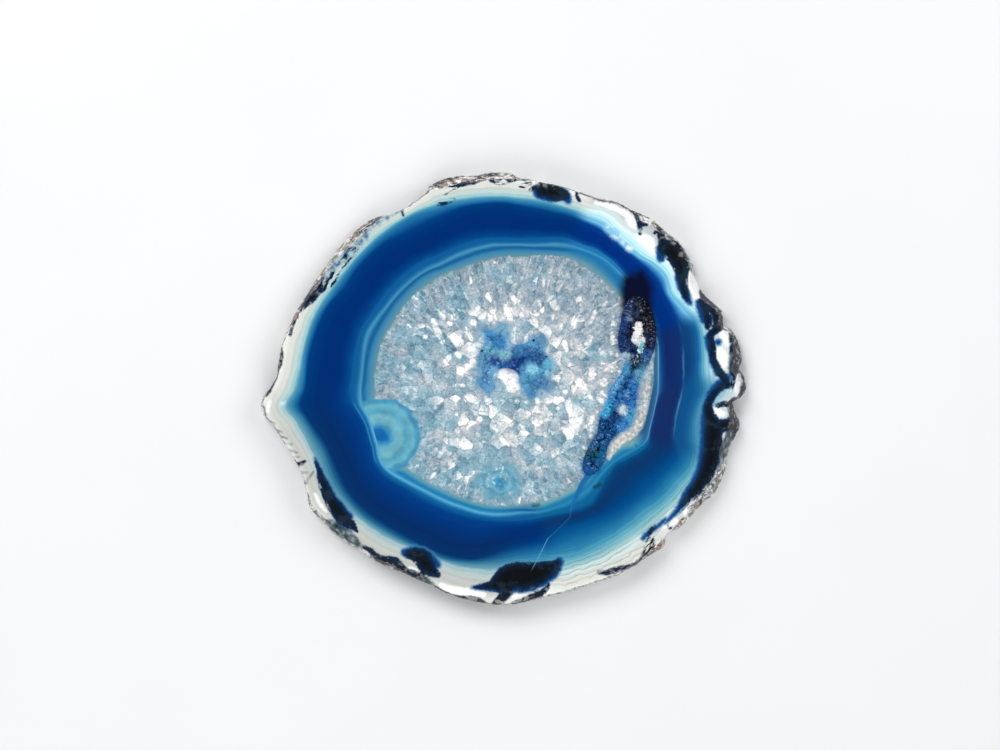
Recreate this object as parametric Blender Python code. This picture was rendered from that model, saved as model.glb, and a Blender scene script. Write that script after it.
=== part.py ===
"""Agate slice: a thin cross-section of an agate nodule, lying on its back face.

The stone is one solid, a slab with two sawn and polished faces and the nodule's own rough
rind as its rim. Two small hollows open in the front face, a long vug near the right edge and
an irregular pocket in the middle, and each is lined with one crust of quartz points.

Frame: +Z up, the back face on Z = 0, the middle of the outline on the Z axis, and +X and +Y
the right and the top of the slice as its front face is seen.
"""

import math
import random

import bmesh
import bpy
from mathutils import Vector, geometry, noise

MM = 0.001

# Driving dimensions, in millimetres and degrees
THICKNESS = 5.0
GAP = 0.35
BAND_CENTRE = Vector((0.3, 0.0))

# The rind's outline: (angle, distance from the bands' centre)
OUTLINE = [
    (0, 45.7), (3, 45.4), (5, 44.6), (7, 45.2), (12, 45.0), (14.5, 44.3), (16.5, 43.1),
    (19.5, 43.7), (22, 42.8), (27, 41.6), (30, 41.6), (33, 42.6), (37, 42.9), (40, 43.3),
    (43, 42.8), (50, 42.4), (54, 41.6), (60, 41.1), (64, 40.2), (70, 39.9), (80, 39.9),
    (86, 40.1), (89, 40.9), (94, 41.1), (97, 40.8), (105, 41.4), (110, 41.2), (112, 40.1),
    (116, 39.5), (119.5, 39.2), (124, 39.9), (128, 40.9), (135, 41.4), (145, 41.2),
    (151, 41.4), (158, 42.0), (165, 42.8), (170, 43.2), (176, 43.3), (179, 44.1),
    (181.5, 45.6), (184, 46.4), (186, 46.1), (188, 45.0), (193, 43.3), (198, 42.2),
    (203, 41.8), (207, 42.4), (212, 43.3), (217, 42.6), (220, 42.5), (226, 41.6),
    (235, 40.7), (243, 39.8), (248, 39.8), (255, 40.4), (263, 40.8), (270, 41.0),
    (276, 40.6), (281, 40.2), (290, 40.3), (300, 41.1), (306, 41.6), (310, 41.7),
    (315, 42.4), (318, 41.2), (322, 42.4), (330, 43.3), (334, 44.4), (340, 44.5),
    (345, 43.9), (351, 45.0), (355, 43.5), (356.5, 43.3), (358, 44.8),
]

# How far the front face's edge lies inside the rind's outline: (angle, distance)
FACE_INSET = [
    (0, 2.2), (8, 1.9), (14, 1.3), (20, 1.2), (28, 1.6), (34, 1.1), (40, 0.8), (48, 1.6),
    (56, 1.5), (63, 0.9), (75, 0.6), (86, 0.9), (95, 1.7), (108, 1.8), (113, 0.6),
    (122, 0.6), (130, 1.4), (140, 1.8), (150, 1.2), (160, 0.9), (175, 0.6), (184, 0.8),
    (195, 0.5), (205, 0.5), (212, 1.1), (222, 1.1), (235, 1.1), (245, 0.6), (262, 0.6),
    (275, 0.7), (290, 0.7), (308, 1.0), (315, 1.5), (325, 1.5), (335, 2.2), (345, 2.0),
    (351, 2.2), (356, 1.5),
]

# The rim's section: (height as a share of the thickness, share of the inset at that height)
RIM_SECTION = [
    (0.0, 0.42), (0.08, 0.18), (0.2, 0.03), (0.36, 0.0), (0.53, 0.14), (0.7, 0.4),
    (0.86, 0.72), (1.0, 1.0),
]
RIM_STEPS = 272

# The rind's surface: the size and depth of its lumps, ledges, pits and chips, what turns the
# smooth noise behind them into each form, and offsets that keep the forms apart
LUMP_SIZE, LUMP_DEPTH, LUMP_STRETCH = 2.4, 0.9, 0.8
LEDGE_HEIGHT, LEDGE_DEPTH, LEDGE_RUN, LEDGE_ABOVE = 1.3, 0.45, 0.12, 0.08
PIT_SIZE, PIT_DEPTH, PIT_ABOVE, PIT_OFFSET = 1.8, 1.6, 0.15, Vector((31, -17, 0))
CHIP_SIZE, CHIP_DEPTH, CHIP_OFFSET = 1.1, 0.3, Vector((0, 0, 40))
ROUGH_AT_EDGE = 0.12

# Each hollow: its mouth in the front face, the height of its steep side, its full depth, how
# far in from the mouth it reaches that depth, and the width and height of its quartz points
VUG = {
    "mouth": [
        (24.5, 17.4), (26.5, 16.7), (27.8, 14.4), (28.6, 11.1), (28.4, 7.9), (27.5, 5.4),
        (26.2, 3.2), (25.2, 0.6), (24.8, -2.4), (24.3, -5.4), (22.8, -7.5), (20.7, -9.0),
        (19.6, -10.7), (19.0, -13.3), (17.7, -15.4), (16.0, -16.3), (14.9, -15.2),
        (15.1, -12.9), (16.2, -10.5), (17.5, -8.4), (18.1, -5.4), (19.4, -2.8),
        (20.0, -0.2), (21.7, 2.4), (22.8, 4.7), (21.8, 7.3), (21.5, 9.6), (22.0, 12.6),
        (22.8, 15.8),
    ],
    "side": 1.1, "depth": 3.3, "reach": 2.6, "point_width": 1.15, "point_height": 0.75,
    "seed": 11,
}
POCKET = {
    "mouth": [
        (-4.3, 10.6), (-1.7, 11.1), (-0.2, 12.2), (1.1, 11.8), (1.0, 9.6), (1.7, 8.2),
        (3.6, 8.4), (5.8, 9.4), (7.4, 10.0), (8.0, 8.4), (7.9, 6.6), (9.0, 4.8),
        (8.6, 2.2), (7.9, -0.2), (6.4, -1.3), (4.3, -0.8), (3.2, 1.2), (2.5, 3.2),
        (0.5, 3.9), (-1.3, 3.4), (-2.1, 2.0), (-1.6, 0.4), (-2.1, -0.8), (-3.4, -0.4),
        (-4.8, 1.2), (-4.7, 4.4), (-4.5, 6.8), (-3.5, 8.6),
    ],
    "side": 1.0, "depth": 2.1, "reach": 2.4, "point_width": 1.35, "point_height": 0.75,
    "seed": 5,
}
MOUTH_STEPS = 3
FLOOR_SPACING = 1.2
LID_ABOVE_FACE = 1.0
NEAR_ENOUGH, STEP_HOME = 0.9, 0.2
CRUST_THICKNESS = 0.4
BELOW_FACE = 0.12

# The quartz points, as shares of their width: how far each site strays, how much of it has to
# lie in the hollow and how far the shoulder is inset; and as shares of the height: its least and
# most, the lean, how much of the lean the shoulder and the tip take, and the shoulder's height
STRAY, ROOM, SHOULDER_INSET = 0.22, 0.15, 0.11
LEAST_HEIGHT, MOST_HEIGHT = 0.55, 1.35
LEAN, SHOULDER_LEAN, TIP_LEAN, SHOULDER_HEIGHT = 0.3, 0.4, 1.3, 0.5
SHOULDER_BELOW_TIP = 0.1


def clear_scene():
    for obj in list(bpy.data.objects):
        bpy.data.objects.remove(obj)


def material(name, colour, roughness):
    made = bpy.data.materials.new(name)
    made.use_nodes = True
    shader = made.node_tree.nodes["Principled BSDF"]
    shader.inputs["Base Color"].default_value = (*colour, 1.0)
    shader.inputs["Roughness"].default_value = roughness
    shader.inputs["Metallic"].default_value = 0.0
    return made


def add_object(name, bm, finish):
    """Turns the millimetre mesh into an object in metres, with its finish."""
    bmesh.ops.recalc_face_normals(bm, faces=bm.faces)
    bmesh.ops.scale(bm, vec=(MM, MM, MM), verts=bm.verts)
    mesh = bpy.data.meshes.new(name)
    bm.to_mesh(mesh)
    bm.free()
    obj = bpy.data.objects.new(name, mesh)
    bpy.context.scene.collection.objects.link(obj)
    if finish:
        mesh.materials.append(finish)
    return obj


def around(table, angle):
    """The value at an angle, on a smooth closed curve through (angle, value) pairs."""
    count = len(table)
    angle %= 360
    after = next((i for i, (a, _) in enumerate(table) if a > angle), 0)

    def entry(i):
        a, value = table[i % count]
        return a + 360 * (i // count), value

    if after == 0:
        after = count
    (a0, v0), (a1, v1), (a2, v2), (a3, v3) = (entry(after + k) for k in (-2, -1, 0, 1))
    before_slope, slope, after_slope = (
        (v1 - v0) / (a1 - a0), (v2 - v1) / (a2 - a1), (v3 - v2) / (a3 - a2)
    )

    def tangent(one, other):
        return 2 * one * other / (one + other) if one * other > 0 else 0.0

    step = a2 - a1
    t = (angle - a1) / step
    start, end = tangent(before_slope, slope) * step, tangent(slope, after_slope) * step
    return (
        v1 * (2 * t**3 - 3 * t**2 + 1) + v2 * (3 * t**2 - 2 * t**3)
        + start * (t**3 - 2 * t**2 + t) + end * (t**3 - t**2)
    )


def roughness_of_rind(x, y, z):
    """How far the rind is sunk below its outline at a point: lumps, ledges and pits."""
    lumps = 0.5 + 0.5 * noise.noise(Vector((x, y, z * LUMP_STRETCH)) / LUMP_SIZE)
    ledge = noise.noise(Vector((x * LEDGE_RUN, y * LEDGE_RUN, z / LEDGE_HEIGHT)))
    pit = noise.noise((Vector((x, y, z)) + PIT_OFFSET) / PIT_SIZE)
    return (
        LUMP_DEPTH * lumps
        + LEDGE_DEPTH * (1.0 if ledge > LEDGE_ABOVE else 0.0)
        + PIT_DEPTH * max(0.0, pit - PIT_ABOVE)
    )


def rim_point(angle, share, inset_share):
    """A point of the rim at a height given as a share of the thickness."""
    turn = math.radians(angle)
    way = Vector((math.cos(turn), math.sin(turn)))
    outer, inset = around(OUTLINE, angle), around(FACE_INSET, angle)
    z = share * THICKNESS
    rough = Vector((*(way * outer), z))
    sunk = roughness_of_rind(*rough) * min(1.0, inset_share + ROUGH_AT_EDGE)
    middle = math.sin(math.pi * share) ** 0.5 if 0 < share < 1 else 0.0
    chip = CHIP_DEPTH * abs(noise.noise((rough + CHIP_OFFSET) / CHIP_SIZE))
    distance = outer - inset * inset_share - chip - middle * sunk
    place = BAND_CENTRE + way * distance
    return Vector((place.x, place.y, z))


def closed_curve(points, steps):
    """Points along a smooth closed curve through the given ones, steps to each stretch."""
    found = []
    count = len(points)
    for i in range(count):
        p0, p1, p2, p3 = (Vector(points[(i + k) % count]) for k in (-1, 0, 1, 2))
        for s in range(steps):
            t = s / steps
            found.append(
                0.5 * (
                    2 * p1 + (p2 - p0) * t + (2 * p0 - 5 * p1 + 4 * p2 - p3) * t**2
                    + (3 * p1 - p0 - 3 * p2 + p3) * t**3
                )
            )
    return found


def nearest_on(outline, point):
    """The outline's nearest point, and the distance to it, below 0 outside the outline."""
    best, nearest = None, None
    inside = False
    for start, end in zip(outline, outline[1:] + outline[:1]):
        along = end - start
        t = min(1.0, max(0.0, (point - start).dot(along) / along.length_squared))
        place = start + along * t
        distance = (point - place).length
        if best is None or distance < best:
            best, nearest = distance, place
        if (start.y > point.y) != (end.y > point.y):
            crossing = start.x + (point.y - start.y) / (end.y - start.y) * along.x
            inside ^= point.x < crossing
    return nearest, best if inside else -best


def bowl_depth(hollow, distance):
    """A hollow's depth at a distance in from its mouth."""
    share = min(1.0, max(0.0, distance) / hollow["reach"])
    return hollow["side"] + (hollow["depth"] - hollow["side"]) * math.sin(share * math.pi / 2)


def lattice(low, high, spacing):
    """Rows of sites spacing apart in a triangular lattice over a box, as {(column, row): place}."""
    rise = spacing * math.sqrt(3) / 2
    rows = int((high.y - low.y) / rise) + 3
    columns = int((high.x - low.x) / spacing) + 3
    return {
        (c, r): Vector((low.x + (c - 1 + 0.5 * (r % 2)) * spacing, low.y + (r - 1) * rise))
        for r in range(rows)
        for c in range(columns)
    }


def box_of(points):
    return (
        Vector((min(p.x for p in points), min(p.y for p in points))),
        Vector((max(p.x for p in points), max(p.y for p in points))),
    )


def hollow_cutter(name, hollow):
    """The space of a hollow, from its bowl-shaped floor to above the front face."""
    mouth = closed_curve(hollow["mouth"], MOUTH_STEPS)
    sites = lattice(*box_of(mouth), FLOOR_SPACING).values()
    floor = [p for p in sites if nearest_on(mouth, p)[1] > FLOOR_SPACING / 2]
    made = geometry.delaunay_2d_cdt(mouth + floor, [], [list(range(len(mouth)))], 1, 1e-4)
    bm = bmesh.new()
    points = []
    for p in made[0]:
        depth = bowl_depth(hollow, nearest_on(mouth, p)[1])
        points.append(bm.verts.new((p.x, p.y, THICKNESS - depth)))
    for face in made[2]:
        bm.faces.new([points[i] for i in face])
    lid = bmesh.ops.extrude_face_region(bm, geom=bm.faces[:])["geom"]
    for vert in (v for v in lid if isinstance(v, bmesh.types.BMVert)):
        vert.co.z = THICKNESS + LID_ABOVE_FACE
    cutter = add_object(name, bm, None)
    cutter.hide_render = True
    cutter.display_type = "WIRE"
    return cutter


def agate_slice(finish):
    """The stone: a rough-rimmed slab with the two hollows cut into its front face."""
    bm = bmesh.new()
    rings = []
    for share, inset_share in RIM_SECTION:
        angles = (360 * i / RIM_STEPS for i in range(RIM_STEPS))
        rings.append([bm.verts.new(rim_point(a, share, inset_share)) for a in angles])
    for lower, upper in zip(rings, rings[1:]):
        for i in range(RIM_STEPS):
            j = (i + 1) % RIM_STEPS
            bm.faces.new((lower[i], lower[j], upper[j], upper[i]))
    bm.faces.new(reversed(rings[0]))
    bm.faces.new(rings[-1])
    stone = add_object("agate_slice", bm, finish)
    for name, hollow in (("vug_space", VUG), ("pocket_space", POCKET)):
        cut = stone.modifiers.new(name, "BOOLEAN")
        cut.operation = "DIFFERENCE"
        cut.object = hollow_cutter(name, hollow)
    return stone


def neighbours_of(column, row):
    """The six lattice sites round a site, anticlockwise from +X."""
    left = column - 1 + row % 2
    return [
        (column + 1, row), (left + 1, row + 1), (left, row + 1),
        (column - 1, row), (left, row - 1), (left + 1, row - 1),
    ]


def kept_clear(mouth, place, home):
    """A crust's outer corner, moved to stand just off the hollow's side."""
    nearest, distance = nearest_on(mouth, place)
    inwards = (place - nearest).normalized() * (1 if distance > 0 else -1)
    moved = nearest + inwards * GAP
    while nearest_on(mouth, moved)[1] < GAP * NEAR_ENOUGH:
        moved = moved.lerp(home, STEP_HOME)
    return moved


def quartz_crust(name, hollow, finish):
    """One crust of six-sided quartz points, side by side over a hollow's floor and sides."""
    random.seed(hollow["seed"])
    mouth = closed_curve(hollow["mouth"], MOUTH_STEPS)
    width = hollow["point_width"]
    jitter = width * STRAY
    sites = {
        key: p + Vector((random.uniform(-jitter, jitter), random.uniform(-jitter, jitter)))
        for key, p in lattice(*box_of(mouth), width).items()
    }
    grown = {k for k, p in sites.items() if nearest_on(mouth, p)[1] > GAP + width * ROOM}
    corners = {}
    bm = bmesh.new()

    def underside(place):
        distance = nearest_on(mouth, place)[1] - GAP
        return THICKNESS - bowl_depth(hollow, distance) + GAP

    def corner(keys):
        key = frozenset(keys)
        if key not in corners:
            around_it = [sites[k] for k in key if k in grown]
            place = sum((sites[k] for k in key), Vector((0, 0))) / 3
            if len(around_it) < 3:
                home = sum(around_it, Vector((0, 0))) / len(around_it)
                place = kept_clear(mouth, place, home)
            corners[key] = bm.verts.new((place.x, place.y, underside(place)))
        return corners[key]

    cells = []
    for key in sorted(grown):
        ring = neighbours_of(*key)
        cell = [corner((key, ring[i], ring[(i + 1) % 6])) for i in range(6)]
        cells.append(bm.faces.new(cell))
    grown_faces = bmesh.ops.extrude_face_region(bm, geom=cells)["geom"]
    tops = [f for f in grown_faces if isinstance(f, bmesh.types.BMFace)]
    for vert in {v for f in tops for v in f.verts}:
        vert.co.z += CRUST_THICKNESS
    for top in tops:
        raise_point(bm, top, hollow)
    return add_object(name, bm, finish)


def raise_point(bm, top, hollow):
    """Makes one cell of the crust a quartz point: steep sides under a six-sided tip."""
    height = hollow["point_height"] * random.uniform(LEAST_HEIGHT, MOST_HEIGHT)
    lean = Vector((random.uniform(-1, 1), random.uniform(-1, 1), 0)) * height * LEAN
    ceiling = THICKNESS - BELOW_FACE
    middle = top.calc_center_median()
    inset = hollow["point_width"] * SHOULDER_INSET
    bmesh.ops.inset_individual(bm, faces=[top], thickness=inset)
    for vert in top.verts:
        vert.co = vert.co + lean * SHOULDER_LEAN
        raised = vert.co.z + height * SHOULDER_HEIGHT
        vert.co.z = min(raised, ceiling - SHOULDER_BELOW_TIP)
    tip = bmesh.ops.poke(bm, faces=[top])["verts"][0]
    tip.co = middle + lean * TIP_LEAN
    tip.co.z = min(middle.z + height, ceiling)


def main():
    clear_scene()
    stone = material("banded_agate", (0.02, 0.16, 0.42), 0.12)
    dyed = material("dyed_quartz", (0.04, 0.22, 0.55), 0.2)
    pale = material("pale_quartz", (0.3, 0.5, 0.68), 0.2)
    agate_slice(stone)
    quartz_crust("vug_crystals", VUG, dyed)
    quartz_crust("pocket_crystals", POCKET, pale)


main()
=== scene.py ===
"""The looks of the agate slice: its polished face, its rough rim and the quartz in its hollows.

Lengths are in millimetres and angles in degrees, anticlockwise from +X about the bands' centre,
until a mesh is made in metres. The outline, the rim's section and the hollows are the same named
values as in the part's source. Colours are given as they are seen, in 0 to 255, and every point's
colour follows from where it lies between the agate's bands and from marks placed one by one.
"""

import math

import bpy
import numpy as np
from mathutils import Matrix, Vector, geometry, noise


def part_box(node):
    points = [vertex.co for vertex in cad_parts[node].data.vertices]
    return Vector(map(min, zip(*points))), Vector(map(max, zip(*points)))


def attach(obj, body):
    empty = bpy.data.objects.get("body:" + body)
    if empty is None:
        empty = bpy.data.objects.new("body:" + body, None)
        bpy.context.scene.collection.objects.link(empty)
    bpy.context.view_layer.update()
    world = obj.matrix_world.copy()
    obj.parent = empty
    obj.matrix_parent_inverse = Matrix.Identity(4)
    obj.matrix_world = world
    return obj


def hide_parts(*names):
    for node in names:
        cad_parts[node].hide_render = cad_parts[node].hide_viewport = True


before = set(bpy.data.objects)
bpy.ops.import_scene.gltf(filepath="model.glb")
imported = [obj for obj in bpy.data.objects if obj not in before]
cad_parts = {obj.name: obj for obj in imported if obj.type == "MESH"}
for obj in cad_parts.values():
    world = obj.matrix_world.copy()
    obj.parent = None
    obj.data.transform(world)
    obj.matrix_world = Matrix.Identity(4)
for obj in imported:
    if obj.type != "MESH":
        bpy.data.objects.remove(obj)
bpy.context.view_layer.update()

MM = 0.001
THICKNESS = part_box("agate_slice")[1].z / MM
BAND_CENTRE = np.array((0.3, 0.0))

# The rind's outline: (angle, distance from the bands' centre)
OUTLINE = [
    (0, 45.7), (3, 45.4), (5, 44.6), (7, 45.2), (12, 45), (14.5, 44.3), (16.5, 43.1), (19.5, 43.7),
    (22, 42.8), (27, 41.6), (30, 41.6), (33, 42.6), (37, 42.9), (40, 43.3), (43, 42.8), (50, 42.4),
    (54, 41.6), (60, 41.1), (64, 40.2), (70, 39.9), (80, 39.9), (86, 40.1), (89, 40.9), (94, 41.1),
    (97, 40.8), (105, 41.4), (110, 41.2), (112, 40.1), (116, 39.5), (119.5, 39.2), (124, 39.9),
    (128, 40.9), (135, 41.4), (145, 41.2), (151, 41.4), (158, 42), (165, 42.8), (170, 43.2),
    (176, 43.3), (179, 44.1), (181.5, 45.6), (184, 46.4), (186, 46.1), (188, 45), (193, 43.3),
    (198, 42.2), (203, 41.8), (207, 42.4), (212, 43.3), (217, 42.6), (220, 42.5), (226, 41.6),
    (235, 40.7), (243, 39.8), (248, 39.8), (255, 40.4), (263, 40.8), (270, 41), (276, 40.6),
    (281, 40.2), (290, 40.3), (300, 41.1), (306, 41.6), (310, 41.7), (315, 42.4), (318, 41.2),
    (322, 42.4), (330, 43.3), (334, 44.4), (340, 44.5), (345, 43.9), (351, 45), (355, 43.5),
    (356.5, 43.3), (358, 44.8),
]

# How far the front face's edge lies inside the rind's outline: (angle, distance)
FACE_INSET = [
    (0, 2.2), (8, 1.9), (14, 1.3), (20, 1.2), (28, 1.6), (34, 1.1), (40, 0.8), (48, 1.6), (56, 1.5),
    (63, 0.9), (75, 0.6), (86, 0.9), (95, 1.7), (108, 1.8), (113, 0.6), (122, 0.6), (130, 1.4),
    (140, 1.8), (150, 1.2), (160, 0.9), (175, 0.6), (184, 0.8), (195, 0.5), (205, 0.5), (212, 1.1),
    (222, 1.1), (235, 1.1), (245, 0.6), (262, 0.6), (275, 0.7), (290, 0.7), (308, 1), (315, 1.5),
    (325, 1.5), (335, 2.2), (345, 2), (351, 2.2), (356, 1.5),
]

# The rim's section: (height as a share of the thickness, share of the inset at that height)
RIM_SECTION = [
    (0, 0.42), (0.08, 0.18), (0.2, 0.03), (0.36, 0), (0.53, 0.14), (0.7, 0.4), (0.86, 0.72), (1, 1),
]

# The rind's lumps, ledges, pits and chips, as in the part
LUMP_SIZE, LUMP_DEPTH = 2.4, 0.9
LEDGE_HEIGHT, LEDGE_DEPTH = 1.3, 0.45
PIT_SIZE, PIT_DEPTH = 1.8, 1.6
CHIP_SIZE, CHIP_DEPTH = 1.1, 0.3

# Where the outer cream zone ends: (angle, distance)
CREAM = [
    (0, 38.8), (5, 38.5), (10, 38.8), (16, 39.4), (21, 39), (26, 37.7), (30, 36.9), (36, 37.5),
    (40, 37.1), (45, 36.2), (53, 36.2), (60, 37.1), (66, 36.2), (72, 36), (85, 36), (91, 36.2),
    (97, 36.4), (106, 36.8), (120, 37.3), (140, 37.3), (148, 37.5), (156, 38.2), (166, 38.6),
    (174, 38.7), (180, 39.6), (184.5, 41.3), (189, 39.7), (195, 38.4), (202, 37.9), (208, 37.9),
    (215, 37.3), (225, 36.2), (235, 35.1), (245, 34.3), (255, 34.3), (265, 33.9), (275, 33.4),
    (281, 33.8), (287, 35.6), (300, 36.4), (310, 37.1), (320, 38), (330, 39.1), (337, 39.8),
    (341, 39.6), (345, 38.1), (350, 36.9), (355, 37.3),
]

# Where the middle blue starts: (angle, distance)
MID = [
    (0, 36.6), (5, 36.4), (10, 36.9), (18, 37.6), (24, 36.4), (30, 35.6), (35, 36.6), (40, 36.2),
    (45, 35.2), (50, 34.9), (60, 35.6), (65, 35.3), (72, 35.2), (80, 35.1), (86, 35.1), (90, 35.4),
    (100, 35.6), (110, 36), (120, 36.6), (130, 36.6), (145, 36.6), (152, 36.9), (160, 37.7),
    (170, 37.9), (176, 37.8), (180, 38.2), (184.5, 39.7), (188, 38.4), (193, 37.1), (200, 36),
    (210, 36.2), (220, 35.8), (230, 34.7), (240, 34), (250, 33.8), (260, 33), (268, 32.1),
    (275, 31.5), (281, 31.5), (286, 32.4), (292, 33.2), (305, 33.8), (318, 34.4), (325, 35.7),
    (332, 36.5), (337, 37.4), (341, 37.2), (345, 35.6), (350, 35.2), (355, 35.6),
]

# Where the deep blue starts: (angle, distance)
DEEP_OUT = [
    (0, 33.2), (10, 33.9), (20, 34.7), (30, 34.7), (36, 35.1), (43, 34.7), (50, 34.3), (60, 34.7),
    (65, 34.5), (70, 34.4), (76, 34.1), (82, 34.2), (87, 34.5), (92, 34.8), (100, 34.9),
    (110, 34.5), (118, 34.3), (124, 34.7), (131, 35.4), (140, 35.6), (147, 35.4), (155, 36.6),
    (163, 36.9), (170, 37.2), (178, 37.2), (181, 37.5), (184.5, 38.3), (188, 37.4), (192, 36.2),
    (198, 34.9), (205, 34.7), (213, 35), (220, 34.6), (230, 33.6), (240, 33), (250, 32.9),
    (258, 32.5), (265, 31.1), (272, 29.6), (280, 29.2), (286, 29.2), (292, 28.5), (300, 29.2),
    (308, 30.3), (316, 31.2), (325, 32.2), (332, 33.3), (338, 34.3), (341, 33.8), (345, 32.6),
    (350, 32.4), (355, 32.6),
]

# Where the deep blue ends: (angle, distance)
DEEP_IN = [
    (0, 29.6), (8, 29.8), (15, 30.2), (22, 30.6), (30, 31.1), (38, 31.5), (44, 31.3), (50, 31.5),
    (56, 31.5), (62, 30.9), (68, 30.6), (75, 29.6), (80, 28.9), (85, 28.5), (92, 28.5), (100, 28.7),
    (110, 28.3), (117, 28.3), (123, 28.7), (132, 28.9), (145, 28.9), (152, 29.1), (158, 29.4),
    (166, 29.2), (175, 29.1), (181, 29.4), (185, 29.1), (190, 28.1), (196, 27.4), (203, 27.6),
    (210, 28.3), (215, 28.1), (220, 27.4), (226, 26.4), (235, 25.9), (245, 25.4), (255, 25.2),
    (268, 25), (276, 24.9), (281, 25.1), (288, 25.4), (294, 25.9), (300, 26.6), (306, 27.2),
    (312, 26.6), (318, 25.6), (325, 25.3), (330, 26.6), (335, 28.1), (339, 28.9), (345, 28.5),
    (352, 28.5), (356, 28.9),
]

# Where the thin light line runs: (angle, distance)
LIGHT = [
    (0, 28.7), (6, 28.9), (12, 29.4), (18, 30), (24, 30.2), (32, 30.2), (40, 30.6), (45, 30.6),
    (52, 30.6), (57, 30.3), (61, 29.9), (65, 29.6), (70, 29), (75, 28.1), (80, 27.4), (85, 27.2),
    (90, 27.1), (95, 27.2), (100, 27), (110, 26.7), (117, 26.5), (123, 26.7), (130, 26.9),
    (145, 27.1), (152, 27.6), (158, 27.9), (165, 27.5), (175, 27.1), (181, 27.2), (185, 27.2),
    (188, 26.9), (192, 26.2), (197, 26), (203, 26.2), (208, 26.8), (212, 27), (216, 26.6),
    (220, 25.9), (225, 25.1), (230, 24.5), (235, 24.1), (240, 23.9), (250, 23.6), (260, 23.7),
    (270, 23.5), (276, 23.4), (280, 23.6), (286, 24), (292, 24.1), (300, 24.4), (310, 24.4),
    (318, 24), (325, 24.4), (330, 25.3), (335, 26.8), (338, 27.8), (341, 28.3), (346, 28.1),
    (352, 28.3), (356, 28.5),
]

# Where the thin dark line runs: (angle, distance)
DARK = [
    (0, 28.1), (10, 28.5), (18, 29.4), (26, 29.6), (34, 29.2), (40, 28.7), (48, 29.2), (56, 29.4),
    (62, 28.9), (68, 28.1), (75, 27.2), (80, 26.8), (85, 26.6), (92, 26.4), (100, 26.1),
    (110, 25.7), (117, 25.7), (123, 26.2), (130, 26.4), (145, 26.4), (155, 26.6), (165, 26.6),
    (175, 26.4), (181, 26.6), (186, 26.4), (190, 25.7), (197, 25.3), (205, 25.5), (212, 26.1),
    (220, 24.9), (230, 23.8), (240, 23.2), (250, 22.9), (262, 22.9), (275, 22.7), (285, 23.4),
    (295, 23.4), (305, 23.6), (318, 23.4), (325, 23.8), (332, 24.9), (337, 27.4), (345, 27.6),
    (355, 27.8),
]

# Where the quartz starts: (angle, distance)
QUARTZ = [
    (0, 27.6), (5, 27.9), (10, 28.2), (14, 28.9), (20, 29.1), (28, 28.9), (34, 28.1), (40, 27.6),
    (46, 27.4), (53, 27.3), (60, 27.1), (65, 27), (70, 26.5), (75, 25.9), (80, 25.1), (85, 24.8),
    (92, 24.6), (100, 24.3), (110, 24), (120, 24.4), (145, 24.4), (160, 24.5), (180, 24.4),
    (187, 24.5), (193, 24.2), (205, 24.2), (213, 24.9), (220, 23.6), (230, 22.7), (240, 22.1),
    (250, 22), (262, 22), (270, 22), (285, 22.1), (297, 22.4), (310, 22.7), (320, 22.3),
    (328, 22.7), (333, 23.6), (337, 25.1), (341, 26.2), (345, 26.8), (355, 27.2),
]

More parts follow.
